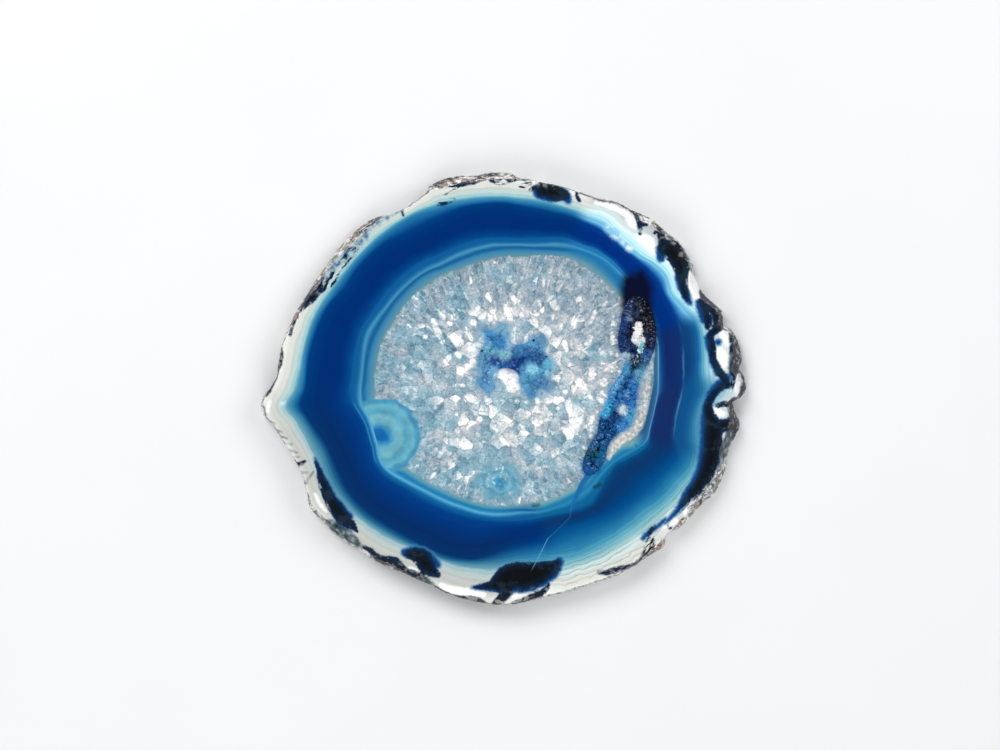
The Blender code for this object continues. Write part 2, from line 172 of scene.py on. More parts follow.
# The marks along the rim, by colour: (angle, distance, half width) along each
DARK_MARKS = [
    [(-36, 39.9, 0.19), (-32, 40, 0.66), (-28, 40.5, 1.12), (-24, 40.9, 1.41), (-20, 40.9, 1.59),
    (-16, 40.5, 1.69), (-12, 39.9, 1.69), (-9, 39.2, 1.31), (-6.5, 38.4, 0.84), (-4, 38.2, 0.66),
    (-1.5, 39, 0.56), (0, 40.1, 0.66), (1.5, 41.4, 0.66)], [(-12, 44.2, 0.38), (-10, 44.2, 0.84),
    (-8.5, 43.1, 1.22), (-9.5, 41.6, 1.12), (-10.5, 40.5, 1.12)], [(-7, 43.5, 0.75),
    (-5.5, 43.3, 0.56), (-4, 42.6, 0.47), (-3.8, 41.1, 0.38), (-4.5, 39.9, 0.28)],
    [(-3.2, 42.6, 0.28), (-2.6, 44.1, 0.47), (-0.5, 45, 0.56), (3, 45.2, 0.47), (5, 44.6, 0.38),
    (7, 44.8, 0.47), (9.5, 44.6, 0.56), (12, 44.4, 0.47), (14.5, 43.9, 0.38)], [(0.5, 42.4, 0.3),
    (3, 42.9, 0.35), (5, 43.3, 0.95), (7, 43.5, 0.4), (9.3, 43.7, 1), (11, 43.3, 0.3),
    (13, 43.7, 0.5)], [(1, 41.6, 0.66), (2.7, 41.2, 0.66), (4.2, 40.5, 0.66), (6, 39.8, 0.56),
    (8.5, 39.3, 0.56), (11, 39.6, 0.6), (13.5, 39.7, 0.56)], [(14.5, 39.6, 0.56),
    (15.5, 40.5, 0.75), (16.3, 41.6, 0.94), (18, 42.2, 1.03), (20, 42.2, 0.94), (22, 41.6, 0.94),
    (24.5, 41.4, 0.75), (26, 41.2, 0.47)], [(17, 39.9, 0.66), (19.5, 40.3, 0.75), (22, 40.5, 0.75),
    (24, 40.3, 0.56)], [(26, 38.1, 0.28), (27.5, 38, 0.56), (30, 38.6, 0.75), (32.5, 39.4, 0.94),
    (34.5, 40.1, 1.41), (37, 40.7, 1.78), (39.5, 40.7, 1.88), (41.5, 40.1, 1.41)],
    [(41, 39.6, 0.75), (43, 40.3, 0.66), (45, 41.4, 0.66), (46.5, 42.2, 0.38)], [(46, 41.1, 0.22),
    (46.2, 40.5, 0.15)], [(49, 38.6, 0.15), (50, 39.4, 0.34), (51.5, 40.3, 0.38),
    (53.5, 41.1, 0.28), (55.5, 41.3, 0.15)], [(50.5, 39.9, 0.28), (49.3, 40.7, 0.19)],
    [(50, 42.4, 0.1), (53, 41.6, 0.16), (56, 41.2, 0.06), (60, 40.7, 0.02), (63, 39.8, 0.08),
    (66, 39.5, 0.04), (69, 39.4, 0.06)], [(68.3, 37.9, 0.15), (69.4, 38.4, 0.22), (70, 39.2, 0.15)],
    [(73, 37.9, 0.94), (75, 37.9, 1.41), (77, 38, 1.59), (79, 37.9, 1.41), (80.3, 37.9, 0.75)],
    [(80, 38.8, 0.56), (81.5, 38.2, 0.47), (82.7, 37.6, 0.22)], [(83, 38.8, 0.28),
    (85.5, 38.1, 0.28)], [(83, 39.8, 0.19), (86, 39.6, 0.28), (88.5, 39.1, 0.3), (90.5, 38.8, 0.47),
    (92.5, 38.9, 0.28), (94, 39.2, 0.15)], [(91, 40.9, 0.3), (94, 40.6, 0.4), (97, 39.8, 0.4),
    (99, 39.2, 0.48), (102, 39, 0.46), (104, 39.2, 0.5), (105.5, 39, 0.38), (107, 38.4, 0.22)],
    [(98, 41, 0.3), (102, 40.9, 0.3), (105, 41.1, 0.4), (108, 40.9, 0.5), (111, 40.9, 0.3)],
    [(120, 39.2, 0.08), (120.4, 37.7, 0.08)], [(105, 36.8, 0.15), (107, 36.6, 0.22),
    (108.8, 36.7, 0.28), (110, 36.8, 0.15)], [(126, 40.2, 0.3), (129, 40, 0.45), (132, 39.9, 0.5),
    (135, 39.8, 0.45)], [(137.5, 38.6, 0.56), (140, 38.6, 0.75), (142, 38.4, 0.56),
    (144.5, 38.6, 0.38), (146.5, 38.4, 0.66), (148, 38.3, 0.75), (150, 38.6, 0.66),
    (152, 39.2, 0.47)], [(149, 40.3, 0.47), (150.5, 39.9, 0.84), (153, 40.1, 0.94),
    (155, 40.3, 0.94), (156.7, 40.6, 0.66), (158.5, 41.1, 0.47), (160.5, 41.4, 0.28),
    (163, 41.6, 0.22), (166, 41.6, 0.15)], [(170, 42.8, 0.22), (172, 42.6, 0.51), (174, 42.6, 0.38),
    (177, 43.1, 0.24), (180, 44.1, 0.26), (181.6, 44.8, 0.15)], [(201, 38.1, 0.11),
    (204, 38.1, 0.47), (207, 38.4, 0.75), (210, 38.6, 0.94), (213, 38.8, 1.12), (216, 38.8, 1.31),
    (218.5, 38.8, 1.31), (220.5, 38.6, 1.03), (222.5, 38.4, 0.47), (224, 38.6, 0.19)],
    [(228.5, 39.7, 0.28), (230.3, 39.4, 0.38), (232.5, 39.7, 0.56), (234.5, 39.7, 0.84),
    (236.2, 39, 0.94), (237.5, 38.3, 0.75), (239, 38.5, 0.66), (241, 39, 0.6), (243, 39.2, 0.56),
    (245, 39.3, 0.47)], [(245.3, 39, 0.28), (245.8, 38.1, 0.41), (246.2, 37.1, 0.56)],
    [(239.5, 36, 0.66), (241, 35.3, 1.12), (243, 35.3, 1.41), (245.5, 36, 1.59), (248, 36.8, 1.03),
    (250, 37, 0.47)], [(243, 34.4, 0.66), (245.5, 34.5, 0.66)], [(246, 39.4, 0.15),
    (249, 39.8, 0.19), (252, 39.7, 0.22), (255, 40.1, 0.15), (258.5, 39.9, 0.22), (260, 40, 0.52),
    (262.5, 40, 0.52), (264.5, 40.2, 0.22)], [(261, 37.6, 0.15), (263.5, 37.4, 0.47),
    (266.5, 36.9, 1.12), (268.8, 36.3, 1.88), (271, 35.4, 2.44), (274, 35.1, 2.53),
    (277, 35.1, 2.34), (280, 35.1, 2.06), (283, 34.8, 1.59), (285.5, 34.5, 0.94),
    (287, 33.9, 0.56)], [(275, 37.3, 0.75), (278, 36.9, 0.75), (281, 36.4, 0.75), (284, 35.7, 0.56),
    (286.5, 35.3, 0.28)], [(267.5, 40.3, 0.56), (268.7, 39.6, 0.75), (269.8, 38.6, 0.94),
    (270.8, 37.7, 0.94)], [(272, 40.3, 0.19), (275, 39.8, 0.38), (277.5, 39.3, 0.56),
    (279.5, 39, 0.6), (281.2, 38.5, 0.47), (282.2, 37.9, 0.22), (282.8, 37.4, 0.11)],
    [(297, 38.7, 0.22), (299, 39.4, 0.43), (301.5, 39.8, 0.43), (304, 40.4, 0.38), (306, 41, 0.38),
    (308, 41.1, 0.41), (310, 40.9, 0.75), (312, 40.5, 0.9), (313.3, 39.8, 0.84),
    (314.6, 38.6, 0.43), (316, 38.1, 0.43), (317.5, 38.2, 0.28)], [(319.8, 40.9, 0.17),
    (320, 39.8, 0.11)], [(327.3, 41.1, 0.22), (328.3, 41.8, 0.38), (330, 42.4, 0.19)],
    [(200, 41.4, 0.34), (200.2, 40.4, 0.24), (199.8, 39.9, 0.08)],
]

BLUE_MARKS = [
    [(-40, 39.2, 0.15), (-36, 39.5, 0.47), (-30, 39.6, 0.94), (-22, 39.9, 1.12), (-14, 39, 1.31),
    (-8, 38.1, 1.12), (-5, 37.9, 0.75), (-1.5, 38.6, 0.84), (0.5, 39.9, 1.03), (2.5, 41.4, 0.94)],
    [(4.5, 40.1, 0.75), (7, 39.2, 0.56), (11, 39, 0.47), (14, 39, 0.56)], [(12.3, 40.9, 0.56)],
    [(19, 39.4, 0.66), (21.5, 39.6, 0.75), (24, 39.6, 0.47)], [(25, 38.2, 0.47), (27, 38.2, 0.75),
    (30, 38.2, 0.75), (33, 38.8, 0.75)], [(40, 38.2, 0.75), (42.5, 39, 0.47)], [(71.6, 37.3, 0.66),
    (73, 38.1, 1.12), (77, 37.7, 1.69), (80, 37.5, 1.22), (81, 36.9, 0.38)], [(200, 37.9, 0.15),
    (205, 37.9, 0.47), (212, 38.1, 0.66), (219, 37.7, 0.66)], [(238.5, 36, 0.66),
    (240.5, 34.9, 0.94), (243, 34.2, 0.66), (246, 34.4, 0.75), (249, 35.4, 0.66)],
    [(260.5, 37.8, 0.15), (264, 37.4, 0.66), (276, 37.7, 0.66), (281, 36.9, 0.84),
    (285, 35.8, 0.75), (286, 34.5, 1.12), (287.5, 33.9, 0.75)], [(312.8, 38.2, 0.38),
    (314, 38.1, 0.41), (318.8, 38.6, 0.38), (321, 38.7, 0.22)],
]

STEEL_MARKS = [
    [(120, 38.6, 0.22), (123, 38.9, 0.35), (126, 39.2, 0.4), (129, 39.4, 0.4)], [(130.5, 39.2, 0.4),
    (133, 38.8, 0.6), (136, 38.6, 0.8), (139.5, 38.8, 0.9), (144, 39.6, 0.7), (149, 39.4, 0.5)],
]

GREY_MARKS = [
    [(217, 41.6, 0.56), (218.5, 41.2, 1.12), (220.5, 40.5, 1.41), (222.5, 40.3, 1.22),
    (225, 40.2, 0.94), (227, 40.1, 0.47), (228.5, 39.8, 0.38)], [(-20, 42.6, 0.4), (-16, 42.8, 0.9),
    (-12, 43.2, 1.1), (-7, 43, 0.8), (-3, 42.8, 0.6)], [(238, 39.6, 0.3), (243, 38.9, 0.8),
    (247, 38.9, 0.8), (252, 39.6, 0.3)], [(3, 42.2, 0.3), (6, 42.6, 0.5), (9, 43, 0.4)],
    [(33, 41.6, 0.3), (37, 42, 0.4), (43, 42, 0.4)], [(187.6, 45, 0.16), (188.6, 43.6, 0.06)],
    [(189.8, 44.2, 0.16), (190.9, 42.7, 0.06)], [(191.6, 43.7, 0.2), (192.8, 41.9, 0.08)],
    [(193.6, 43.1, 0.16), (194.6, 41.4, 0.05)], [(195.4, 42.7, 0.2), (197, 40.8, 0.08)],
    [(197.6, 42.2, 0.16), (198.4, 40.6, 0.05)], [(202, 41.8, 0.16), (203, 40.3, 0.06)],
    [(205.3, 41.4, 0.2), (203.2, 39, 0.08)], [(184, 45.6, 0.2), (186, 45.2, 0.22)],
]

CLEAR_MARKS = [
    [(-6.6, 41.1, 0.56), (-6.4, 40.1, 0.84), (-5.8, 39.2, 0.66)], [(-1.5, 43.5, 0.47),
    (0.5, 43.6, 0.56), (3, 43.8, 0.28)], [(6.6, 44.7, 0.35), (8, 44.9, 0.3)], [(16.5, 43.2, 0.3),
    (19, 43.4, 0.35)], [(-10.5, 44, 0.25), (-8.5, 44, 0.3)], [(7, 41.1, 1.12), (8.5, 41.1, 1.22),
    (10.2, 40.9, 0.75)], [(11.5, 42.4, 0.47), (13, 42.2, 0.75), (14.3, 42, 0.47)],
    [(24.5, 39.6, 0.56), (27.5, 40.1, 1.12), (30, 40.7, 0.94), (32, 40.7, 0.56)], [(43, 37.9, 0.75),
    (46, 38.6, 1.12), (48.5, 37.9, 0.66)], [(52, 39.2, 0.9), (56, 40, 0.7), (59, 39.6, 0.6),
    (64, 38.8, 0.3)], [(252, 38.8, 0.56), (256, 39, 0.84), (260, 38.6, 0.75), (264, 38.8, 0.56)],
    [(272.5, 38.8, 0.56), (276, 38.2, 0.38), (279, 37.7, 0.28)], [(-43, 40.7, 0.56),
    (-41, 40.1, 0.94), (-38, 40.3, 0.75)], [(-35, 41.4, 0.47), (-34, 40.7, 0.38)], [(242, 38, 0.3),
    (244, 37.7, 0.2)], [(209, 40.7, 0.3), (212, 40.9, 0.35), (214.5, 40.7, 0.2)], [(183, 44.2, 0.3),
    (185.5, 44.8, 0.4)], [(48, 35.4, 0.32), (49, 35.1, 0.3)],
]

# The hollows: each mouth in the front face, its steep side, full depth and reach, as in the part
VUG = {
    "mouth": [
        (24.5, 17.4), (26.5, 16.7), (27.8, 14.4), (28.6, 11.1), (28.4, 7.9), (27.5, 5.4),
        (26.2, 3.2), (25.2, 0.6), (24.8, -2.4), (24.3, -5.4), (22.8, -7.5), (20.7, -9.0),
        (19.6, -10.7), (19.0, -13.3), (17.7, -15.4), (16.0, -16.3), (14.9, -15.2),
        (15.1, -12.9), (16.2, -10.5), (17.5, -8.4), (18.1, -5.4), (19.4, -2.8),
        (20.0, -0.2), (21.7, 2.4), (22.8, 4.7), (21.8, 7.3), (21.5, 9.6), (22.0, 12.6),
        (22.8, 15.8),
    ],
    "side": 1.1, "depth": 3.3, "reach": 2.6, "spacing": 0.34, "radius": 0.46, "length": 1.3,
    "levels": (0.3, 0.6, 0.9), "contrast": 0.08, "seed": 11,
    "points": [
        (25.45, 11.7, 0.6, 2.6), (25.3, 10.9, 0.8, 2.6), (25.0, 10.0, 0.75, 2.6),
        (24.75, 9.2, 0.5, 2.6), (22.3, -4.0, 0.6, 1.6),
        (22.9, 5.9, 0.5, 1.0), (19.6, -3.9, 0.6, 1.1), (24.9, 14.6, 0.6, 1.2),
    ],
    # Where the dye gathers: (x, y, how far it spreads, colour)
    "dye": [
        (24.9, 17.4, 1.2, (10, 14, 34)), (23.4, 15.8, 1.0, (22, 44, 92)),
        (24.9, 14.6, 0.9, (48, 66, 96)), (26.9, 15.0, 1.3, (12, 14, 28)),
        (22.6, 12.3, 1.0, (18, 54, 112)), (23.5, 13.2, 0.4, (118, 158, 196)),
        (27.2, 12.4, 1.0, (18, 20, 32)), (24.2, 11.6, 0.9, (14, 26, 60)),
        (21.9, 8.6, 0.9, (8, 44, 98)), (23.3, 8.4, 1.0, (16, 54, 104)),
        (27.7, 8.6, 0.9, (16, 34, 70)), (22.9, 5.9, 0.6, (150, 176, 196)),
        (27.2, 6.0, 0.8, (44, 92, 140)), (24.9, 4.6, 0.8, (24, 60, 96)),
        (22.9, 3.9, 0.9, (62, 134, 182)), (25.7, 2.8, 0.9, (84, 148, 180)),
        (21.3, 1.1, 0.9, (84, 154, 198)), (23.2, 0.6, 1.2, (40, 112, 176)),
        (24.2, -1.6, 1.1, (34, 104, 172)), (23.1, -1.2, 0.35, (150, 206, 236)),
        (19.5, -3.9, 0.8, (52, 158, 206)), (22.3, -4.0, 0.55, (222, 236, 238)),
        (21.2, -2.6, 0.7, (50, 124, 184)), (20.9, -5.3, 0.8, (8, 72, 132)),
        (24.0, -4.9, 0.8, (66, 148, 192)), (22.2, -6.4, 0.7, (56, 128, 188)),
        (19.0, -7.4, 1.0, (6, 74, 130)), (17.3, -9.8, 0.9, (10, 82, 134)),
        (16.8, -12.2, 0.7, (22, 80, 104)), (17.9, -13.2, 0.8, (18, 88, 138)),
        (16.1, -15.3, 0.9, (10, 78, 136)), (26.4, 17.0, 0.9, (10, 13, 30)),
        (28.5, 10.8, 0.8, (14, 24, 48)), (28.2, 14.2, 0.8, (10, 12, 28)),
    ],
    # Painted glints: where single points are coloured white, cyan and dark at random to look like
    # glints: (x, y, reach)
    "painted_glints": [(26.5, 9.6, 1.0), (26.1, 8.0, 1.3), (25.7, 6.2, 1.3), (25.1, 4.8, 0.9)],
    # Painted highlight: clear points near these places are coloured plain white: (x, y, reach)
    "painted_highlight": [(25.6, 11.6, 0.9), (25.4, 10.8, 1.05), (25.1, 9.8, 1.0), (24.8, 9.0, 0.6)],
}

POCKET = {
    "mouth": [
        (-4.3, 10.6), (-1.7, 11.1), (-0.2, 12.2), (1.1, 11.8), (1.0, 9.6), (1.7, 8.2),
        (3.6, 8.4), (5.8, 9.4), (7.4, 10.0), (8.0, 8.4), (7.9, 6.6), (9.0, 4.8),
        (8.6, 2.2), (7.9, -0.2), (6.4, -1.3), (4.3, -0.8), (3.2, 1.2), (2.5, 3.2),
        (0.5, 3.9), (-1.3, 3.4), (-2.1, 2.0), (-1.6, 0.4), (-2.1, -0.8), (-3.4, -0.4),
        (-4.8, 1.2), (-4.7, 4.4), (-4.5, 6.8), (-3.5, 8.6),
    ],
    "side": 1.0, "depth": 2.1, "reach": 2.4, "spacing": 0.5, "radius": 0.74, "length": 1.2,
    "levels": (0.35, 0.7, 1.1), "contrast": 0.05, "seed": 5,
    # Single larger points: (x, y, radius, height)
    "points": [
        (5.2, 4.4, 1.0, 1.3), (5.0, 3.0, 1.0, 1.2), (-1.9, 7.2, 0.8, 1.0), (0.3, 6.2, 0.8, 1.0),
        (8.0, 4.2, 0.6, 1.0), (4.5, 1.4, 0.9, 1.0), (5.5, 7.8, 0.7, 0.9),
    ],
    "dye": [
        (-1.1, 9.0, 1.1, (66, 138, 190)), (-2.0, 7.1, 0.7, (112, 180, 202)),
        (-3.7, 5.4, 1.0, (84, 142, 180)), (-2.0, 5.5, 0.8, (36, 82, 148)),
        (0.3, 6.2, 0.7, (142, 196, 208)), (2.5, 4.7, 1.1, (12, 60, 130)),
        (0.4, 4.7, 0.8, (24, 84, 150)), (5.2, 6.6, 0.9, (36, 94, 154)),
        (6.4, 5.5, 0.8, (46, 98, 152)), (5.5, 7.8, 0.8, (84, 152, 194)),
        (7.1, 9.1, 0.8, (90, 142, 178)), (2.7, 6.8, 0.8, (60, 126, 176)),
        (5.2, 3.7, 0.7, (146, 210, 228)), (3.9, 3.9, 0.6, (96, 162, 198)),
        (8.1, 4.2, 0.7, (96, 172, 206)), (4.5, 1.6, 0.9, (84, 152, 190)),
        (5.9, 0.8, 0.9, (72, 132, 176)), (7.4, 1.0, 0.8, (80, 134, 178)),
        (-3.6, 2.2, 1.1, (86, 144, 186)), (-2.0, 0.4, 0.7, (92, 152, 190)),
        (-2.2, 3.3, 0.7, (104, 162, 200)), (-0.2, 11.2, 1.0, (112, 162, 190)),
        (-4.6, 2.8, 0.45, (146, 178, 198)), (-4.4, 9.2, 0.5, (150, 180, 198)),
        (1.1, 11.4, 0.45, (150, 182, 200)), (8.6, 7.4, 0.5, (140, 176, 198)),
        (8.9, 2.6, 0.45, (138, 176, 200)), (7.2, -0.9, 0.5, (140, 174, 196)),
        (1.2, 8.7, 0.5, (136, 174, 200)), (-1.7, -0.6, 0.4, (146, 178, 198)),
    ],
    "painted_glints": [], "painted_highlight": [],
}

# How finely the stone's surface is made
RIM_STEPS, RIM_LEVELS = 1080, 20
FACE_STEPS, BACK_STEPS = 1080, 270
MOUTH_STEPS = 9
QUARTZ_RINGS, RING_SPACING = 68, 0.37
FLOOR_SPACING = 0.4
GRAIN_SIZE, GRAIN_DEPTH = 0.5, 0.16
PIN_SIZE, PIN_DEPTH = 0.42, 0.5
EDGE_SIZE, EDGE_DEPTH = 0.6, 0.1
BELOW_FACE = 0.05
POLISHED, RIND, HOLLOW = 0, 1, 2

# The colours of the painted glints, from white and cyan painted highlights to dark ones
PAINTED_GLINT_COLOURS = [
    (252, 253, 253), (190, 232, 236), (110, 190, 206), (50, 130, 156), (20, 50, 74),
    (252, 253, 253), (130, 206, 218), (210, 240, 244),
]

# The bands' contours, and how many rings of points lie between them on each face
CONTOURS = (CREAM, MID, DEEP_OUT, DEEP_IN, LIGHT, DARK, QUARTZ)
FACE_COUNTS = (15, 4, 4, 4, 4, 2, 2)
BACK_COUNTS = (5, 2, 3, 3, 2, 1, 1)

# The quartz's depth for each step past 7, and the x that parts the two hollows
QUARTZ_STEP = 4.0
HOLLOWS_PART = 12.0

# The dye that soaked the stone above the vug: (angle, distance, half width)
SMEAR_MARKS = [
    [(40, 33, 0.7), (38, 32.2, 1.4), (36, 31.4, 1.9), (33, 30.4, 1.8), (29, 29.8, 1.2),
    (24, 29.3, 0.6), (17, 28.8, 0.35)], [(40, 30.8, 1.5), (37, 29.4, 1.5), (34, 28, 1.2),
    (31, 27, 0.7)],
]

# The pale quartz strip that edges the vug on its right: (x, y, half width)
STRIP_MARKS = [
    [(28.4, 8.6, 0.05), (27.9, 5, 0.15), (27.1, 1.6, 0.28), (26.6, -2.4, 0.48), (25.8, -5.8, 0.6),
    (24.4, -8.1, 0.65), (22.3, -9.4, 0.75), (20.8, -11, 0.65), (19.8, -12.8, 0.35)],
]

# The blue vein that leaves the vug's lower end: (x, y, half width)
BLUE_VEIN = [[(15.8, -16.3, 0.5), (14.6, -18, 0.38), (13.6, -20.3, 0.26), (12.8, -22.1, 0.14)]]

# The fine healed crack that crosses the bands below the vug: (y, x)
CRACK = [(-34.5, 5), (-31.5, 6.6), (-28.1, 8.3), (-25.5, 11.1), (-24, 12.5), (-21.8, 12.7)]

# Cloudy spots where the dye didn't take
CLOUDS = [
    [(19.6, 30, 0.5), (21.1, 28.9, 0.7)], [(22.3, 27.6, 0.2), (23.7, 26.2, 0.3)],
    [(-41.4, -2.6, 0.3)],
]

# Small dark spots in the quartz below the vug
SPOTS = [[(17.2, -18.4, 0.45), (18.2, -17.9, 0.4)], [(5.6, -21.9, 0.3), (6.6, -21.7, 0.25)]]

# The marks given by angle and distance
POLAR_MARKS = {
    "dark": DARK_MARKS, "blue": BLUE_MARKS, "steel": STEEL_MARKS, "grey": GREY_MARKS,
    "clear": CLEAR_MARKS, "smear": SMEAR_MARKS,
}

# The quartz's brightest grains: (x, y, half width)
WHITE_GRAINS = [
    [(-4.2, 14.2, 1.2)], [(-2.1, 14.3, 0.95), (-2, 13.2, 0.95)], [(0.7, 14.6, 0.7),
    (1.2, 13.5, 0.7)], [(1.6, 17.3, 0.6), (2.5, 16.2, 0.7)], [(-7.5, 18.2, 0.15), (-7, 17, 0.45)],
    [(-13.1, 12.8, 0.5), (-12.4, 11, 0.6), (-11.4, 8.9, 0.6)], [(-9.9, 9.9, 0.9), (-8.3, 8.8, 0.8)],
    [(-7.1, 11.5, 0.25), (-5.9, 9.2, 0.35)], [(-6.3, 7.5, 0.6)], [(-10.8, 5.2, 0.5),
    (-10.1, 6, 0.5)], [(-8, 3.2, 0.75), (-6, 5.1, 0.85)], [(2, 11.4, 0.4), (1.8, 8.9, 0.5)],
    [(-4.2, 9.5, 0.25)], [(-18, 11.7, 0.3)], [(-17.1, 5.1, 0.35)], [(-9.4, 0.8, 0.35)],
    [(-5.9, 2.2, 0.4)], [(14.1, 16.8, 0.6)], [(17.4, 14.8, 0.3), (16.3, 12.4, 0.4)],
    [(13.7, 13.2, 0.4), (12.8, 11.4, 0.5)], [(10.8, 11.9, 0.35)], [(6.8, 16.1, 0.25),
    (7.3, 14.8, 0.4)], [(6, 14.2, 0.4)], [(8.7, 14.7, 0.35)], [(5.8, 11.4, 0.35), (4.6, 9.9, 0.5)],
    [(8.5, 8.2, 0.4), (8.3, 7, 0.5)], [(14.2, 7.1, 0.8), (14.6, 6.5, 0.7)], [(20.3, 6.9, 0.55)],
    [(18.7, 4.2, 0.85), (19.8, 3.9, 0.8)], [(21.4, 3.8, 0.35), (22.1, 2.5, 0.4)], [(9.3, 2.6, 0.45),
    (10.2, 1.6, 0.45)], [(10.8, 3.2, 0.3)], [(14.2, 1.2, 0.75), (15.1, 0.5, 0.6)],
    [(18.8, 1.2, 0.85)], [(20.6, 13.6, 0.15), (20.3, 11, 0.25), (20.4, 8.6, 0.3)],
    [(22, 14.4, 0.25)], [(0, 2.6, 1.1), (1.3, 2.4, 1.4), (1.6, 0.3, 1.15)], [(-6.4, -1.6, 0.75),
    (-5.2, -2.1, 0.7)], [(-3.2, -1.8, 0.6)], [(2.6, -2.4, 0.8)], [(4.2, -2.6, 0.45)],
    [(1.3, -6.5, 0.5)], [(-2.4, -7.1, 0.35), (-1.3, -7.8, 0.4)], [(-0.4, -9.4, 0.4),
    (0.9, -10.5, 0.35)], [(-8.8, -4.8, 0.4)], [(-12.8, -3.4, 0.35)], [(-11.9, -12.7, 0.45)],
    [(-10.6, -8.2, 0.25)], [(-8.8, -8.2, 0.3)], [(-8.8, -1.8, 0.3)], [(1.4, -11.5, 0.25)],
    [(5.8, -3.4, 0.4), (5.1, -4.4, 0.4)], [(8.2, -2.5, 0.45)], [(7.9, -5.8, 0.25),
    (8.8, -5.5, 0.4)], [(10.2, -3.7, 0.3)], [(12.4, -2.8, 0.25), (12.4, -4.5, 0.35)],
    [(3.2, -7.3, 0.65), (4, -8.2, 0.65)], [(6.5, -11.2, 0.45)], [(7.9, -8.5, 0.25),
    (7.9, -9.4, 0.25)], [(18.3, -2.2, 0.65)], [(16.7, -5.4, 0.5), (16.2, -7.2, 0.6)],
    [(14.4, -8.9, 0.25)], [(14.9, -11, 0.25), (15.6, -11.3, 0.25)], [(13.3, 0, 0.35),
    (13.3, -1.6, 0.4)], [(14.8, -1.5, 0.35)], [(16.3, -1.6, 0.35)], [(9.9, -12.3, 0.2),
    (11.1, -11.8, 0.25)], [(21.5, 9.8, 0.3)], [(21, 6.3, 0.4)], [(21.9, 11.3, 0.25)],
    [(20.7, 4.9, 0.35)], [(18.5, -0.6, 0.4)], [(17.5, -4.2, 0.4)], [(16.4, -8.8, 0.4)],
    [(15.1, -12.4, 0.3)], [(16.1, -10.4, 0.3)], [(-14.6, 9.8, 0.5)], [(-12.2, 14.6, 0.4),
    (-11.4, 13.4, 0.4)], [(-9.2, 13.6, 0.5)], [(-7.4, 14.6, 0.4)], [(-5.6, 12.4, 0.5)],
    [(-8.2, 6.4, 0.6)], [(-12.4, 6.2, 0.4)], [(-7.6, 0.8, 0.5)], [(11.4, 8.6, 0.5),
    (11.9, 7.2, 0.4)], [(16.2, 9.6, 0.5)], [(17.6, 8, 0.4)], [(12.2, 4.6, 0.5)], [(16.6, 3, 0.5)],
    [(11.6, -0.6, 0.4)], [(8.8, 0.2, 0.4)], [(3.4, 13.8, 0.5)], [(-3.4, 17.2, 0.4)],
    [(9.6, 16.6, 0.3)], [(-4.4, -5.6, 0.4)], [(-6.8, -6.8, 0.4)], [(-3.8, -10.2, 0.4)],
    [(5.6, -6.6, 0.4)], [(10.8, -7.4, 0.4)],
]

# Dark joints between the quartz's grains
DARK_JOINTS = [
    [(8.5, 2.3, 0.06), (9.8, 3.3, 0.09), (11.5, 3.6, 0.05)], [(9.8, 2.7, 0.05), (12, 2.8, 0.05)],
    [(-8.6, -0.9, 0.05), (-7.3, 0.7, 0.05)], [(-7.4, -2.9, 0.04), (-4.9, -4.1, 0.1),
    (-2.9, -4.4, 0.06), (-2.5, -6.1, 0.05), (0.7, -7.5, 0.04)], [(-12.5, 8.6, 0.05),
    (-10.8, 8.2, 0.08), (-9.1, 7.1, 0.1)], [(-15, 14.4, 0.03), (-11.6, 16.6, 0.06),
    (-7, 16.8, 0.05)], [(0.6, -9.2, 0.05), (4.6, -8.9, 0.06), (6.1, -8, 0.04)], [(13.4, 5.6, 0.05),
    (16.6, 5.2, 0.06)],
]

# The marks given by x and y
PLAIN_MARKS = {
    "strip": STRIP_MARKS, "white": WHITE_GRAINS, "joint": DARK_JOINTS, "blue_vein": BLUE_VEIN,
    "spot": SPOTS, "cloud": CLOUDS,
}

# The parts of the circle where the stone looks different: (start, end, how softly)
SIDES = {
    "right": [(-19, -1, 7)], "corner": [(5, 17, 6)], "upper": [(24, 62, 7)],
    "lower": [(289, 336, 8)], "glow": [(195, 262, 20)],
    "brown": [(85, 112, 4), (127, 150, 4), (160, 168, 3), (310, 328, 4)],
    "dim": [(-32, 8, 6), (196, 212, 5), (236, 252, 5)], "double": [(188, 207, 5)],
}

# The bands' colours as seen, from the rind (0) to the quartz (7)
LEFT_BANDS = [
    (0, (246, 247, 244)), (0.3, (236, 238, 232)), (0.6, (214, 219, 212)), (0.82, (186, 212, 210)),
    (1, (136, 188, 198)), (1.2, (96, 164, 188)), (1.5, (62, 140, 178)), (2, (38, 118, 166)),
    (2.5, (16, 88, 146)), (2.85, (4, 66, 130)), (3.1, (1, 54, 119)), (3.35, (1, 46, 113)),
    (3.7, (1, 46, 113)), (3.88, (3, 60, 127)), (4, (8, 76, 140)), (4.15, (16, 90, 150)),
    (4.6, (17, 94, 151)), (4.8, (34, 110, 161)), (4.95, (60, 134, 179)), (5.12, (72, 144, 186)),
    (5.35, (60, 132, 176)), (5.65, (32, 106, 156)), (5.9, (19, 92, 144)), (6.1, (30, 104, 156)),
    (6.32, (56, 128, 172)), (6.55, (70, 138, 172)), (6.8, (84, 142, 164)), (7, (110, 150, 164)),
]

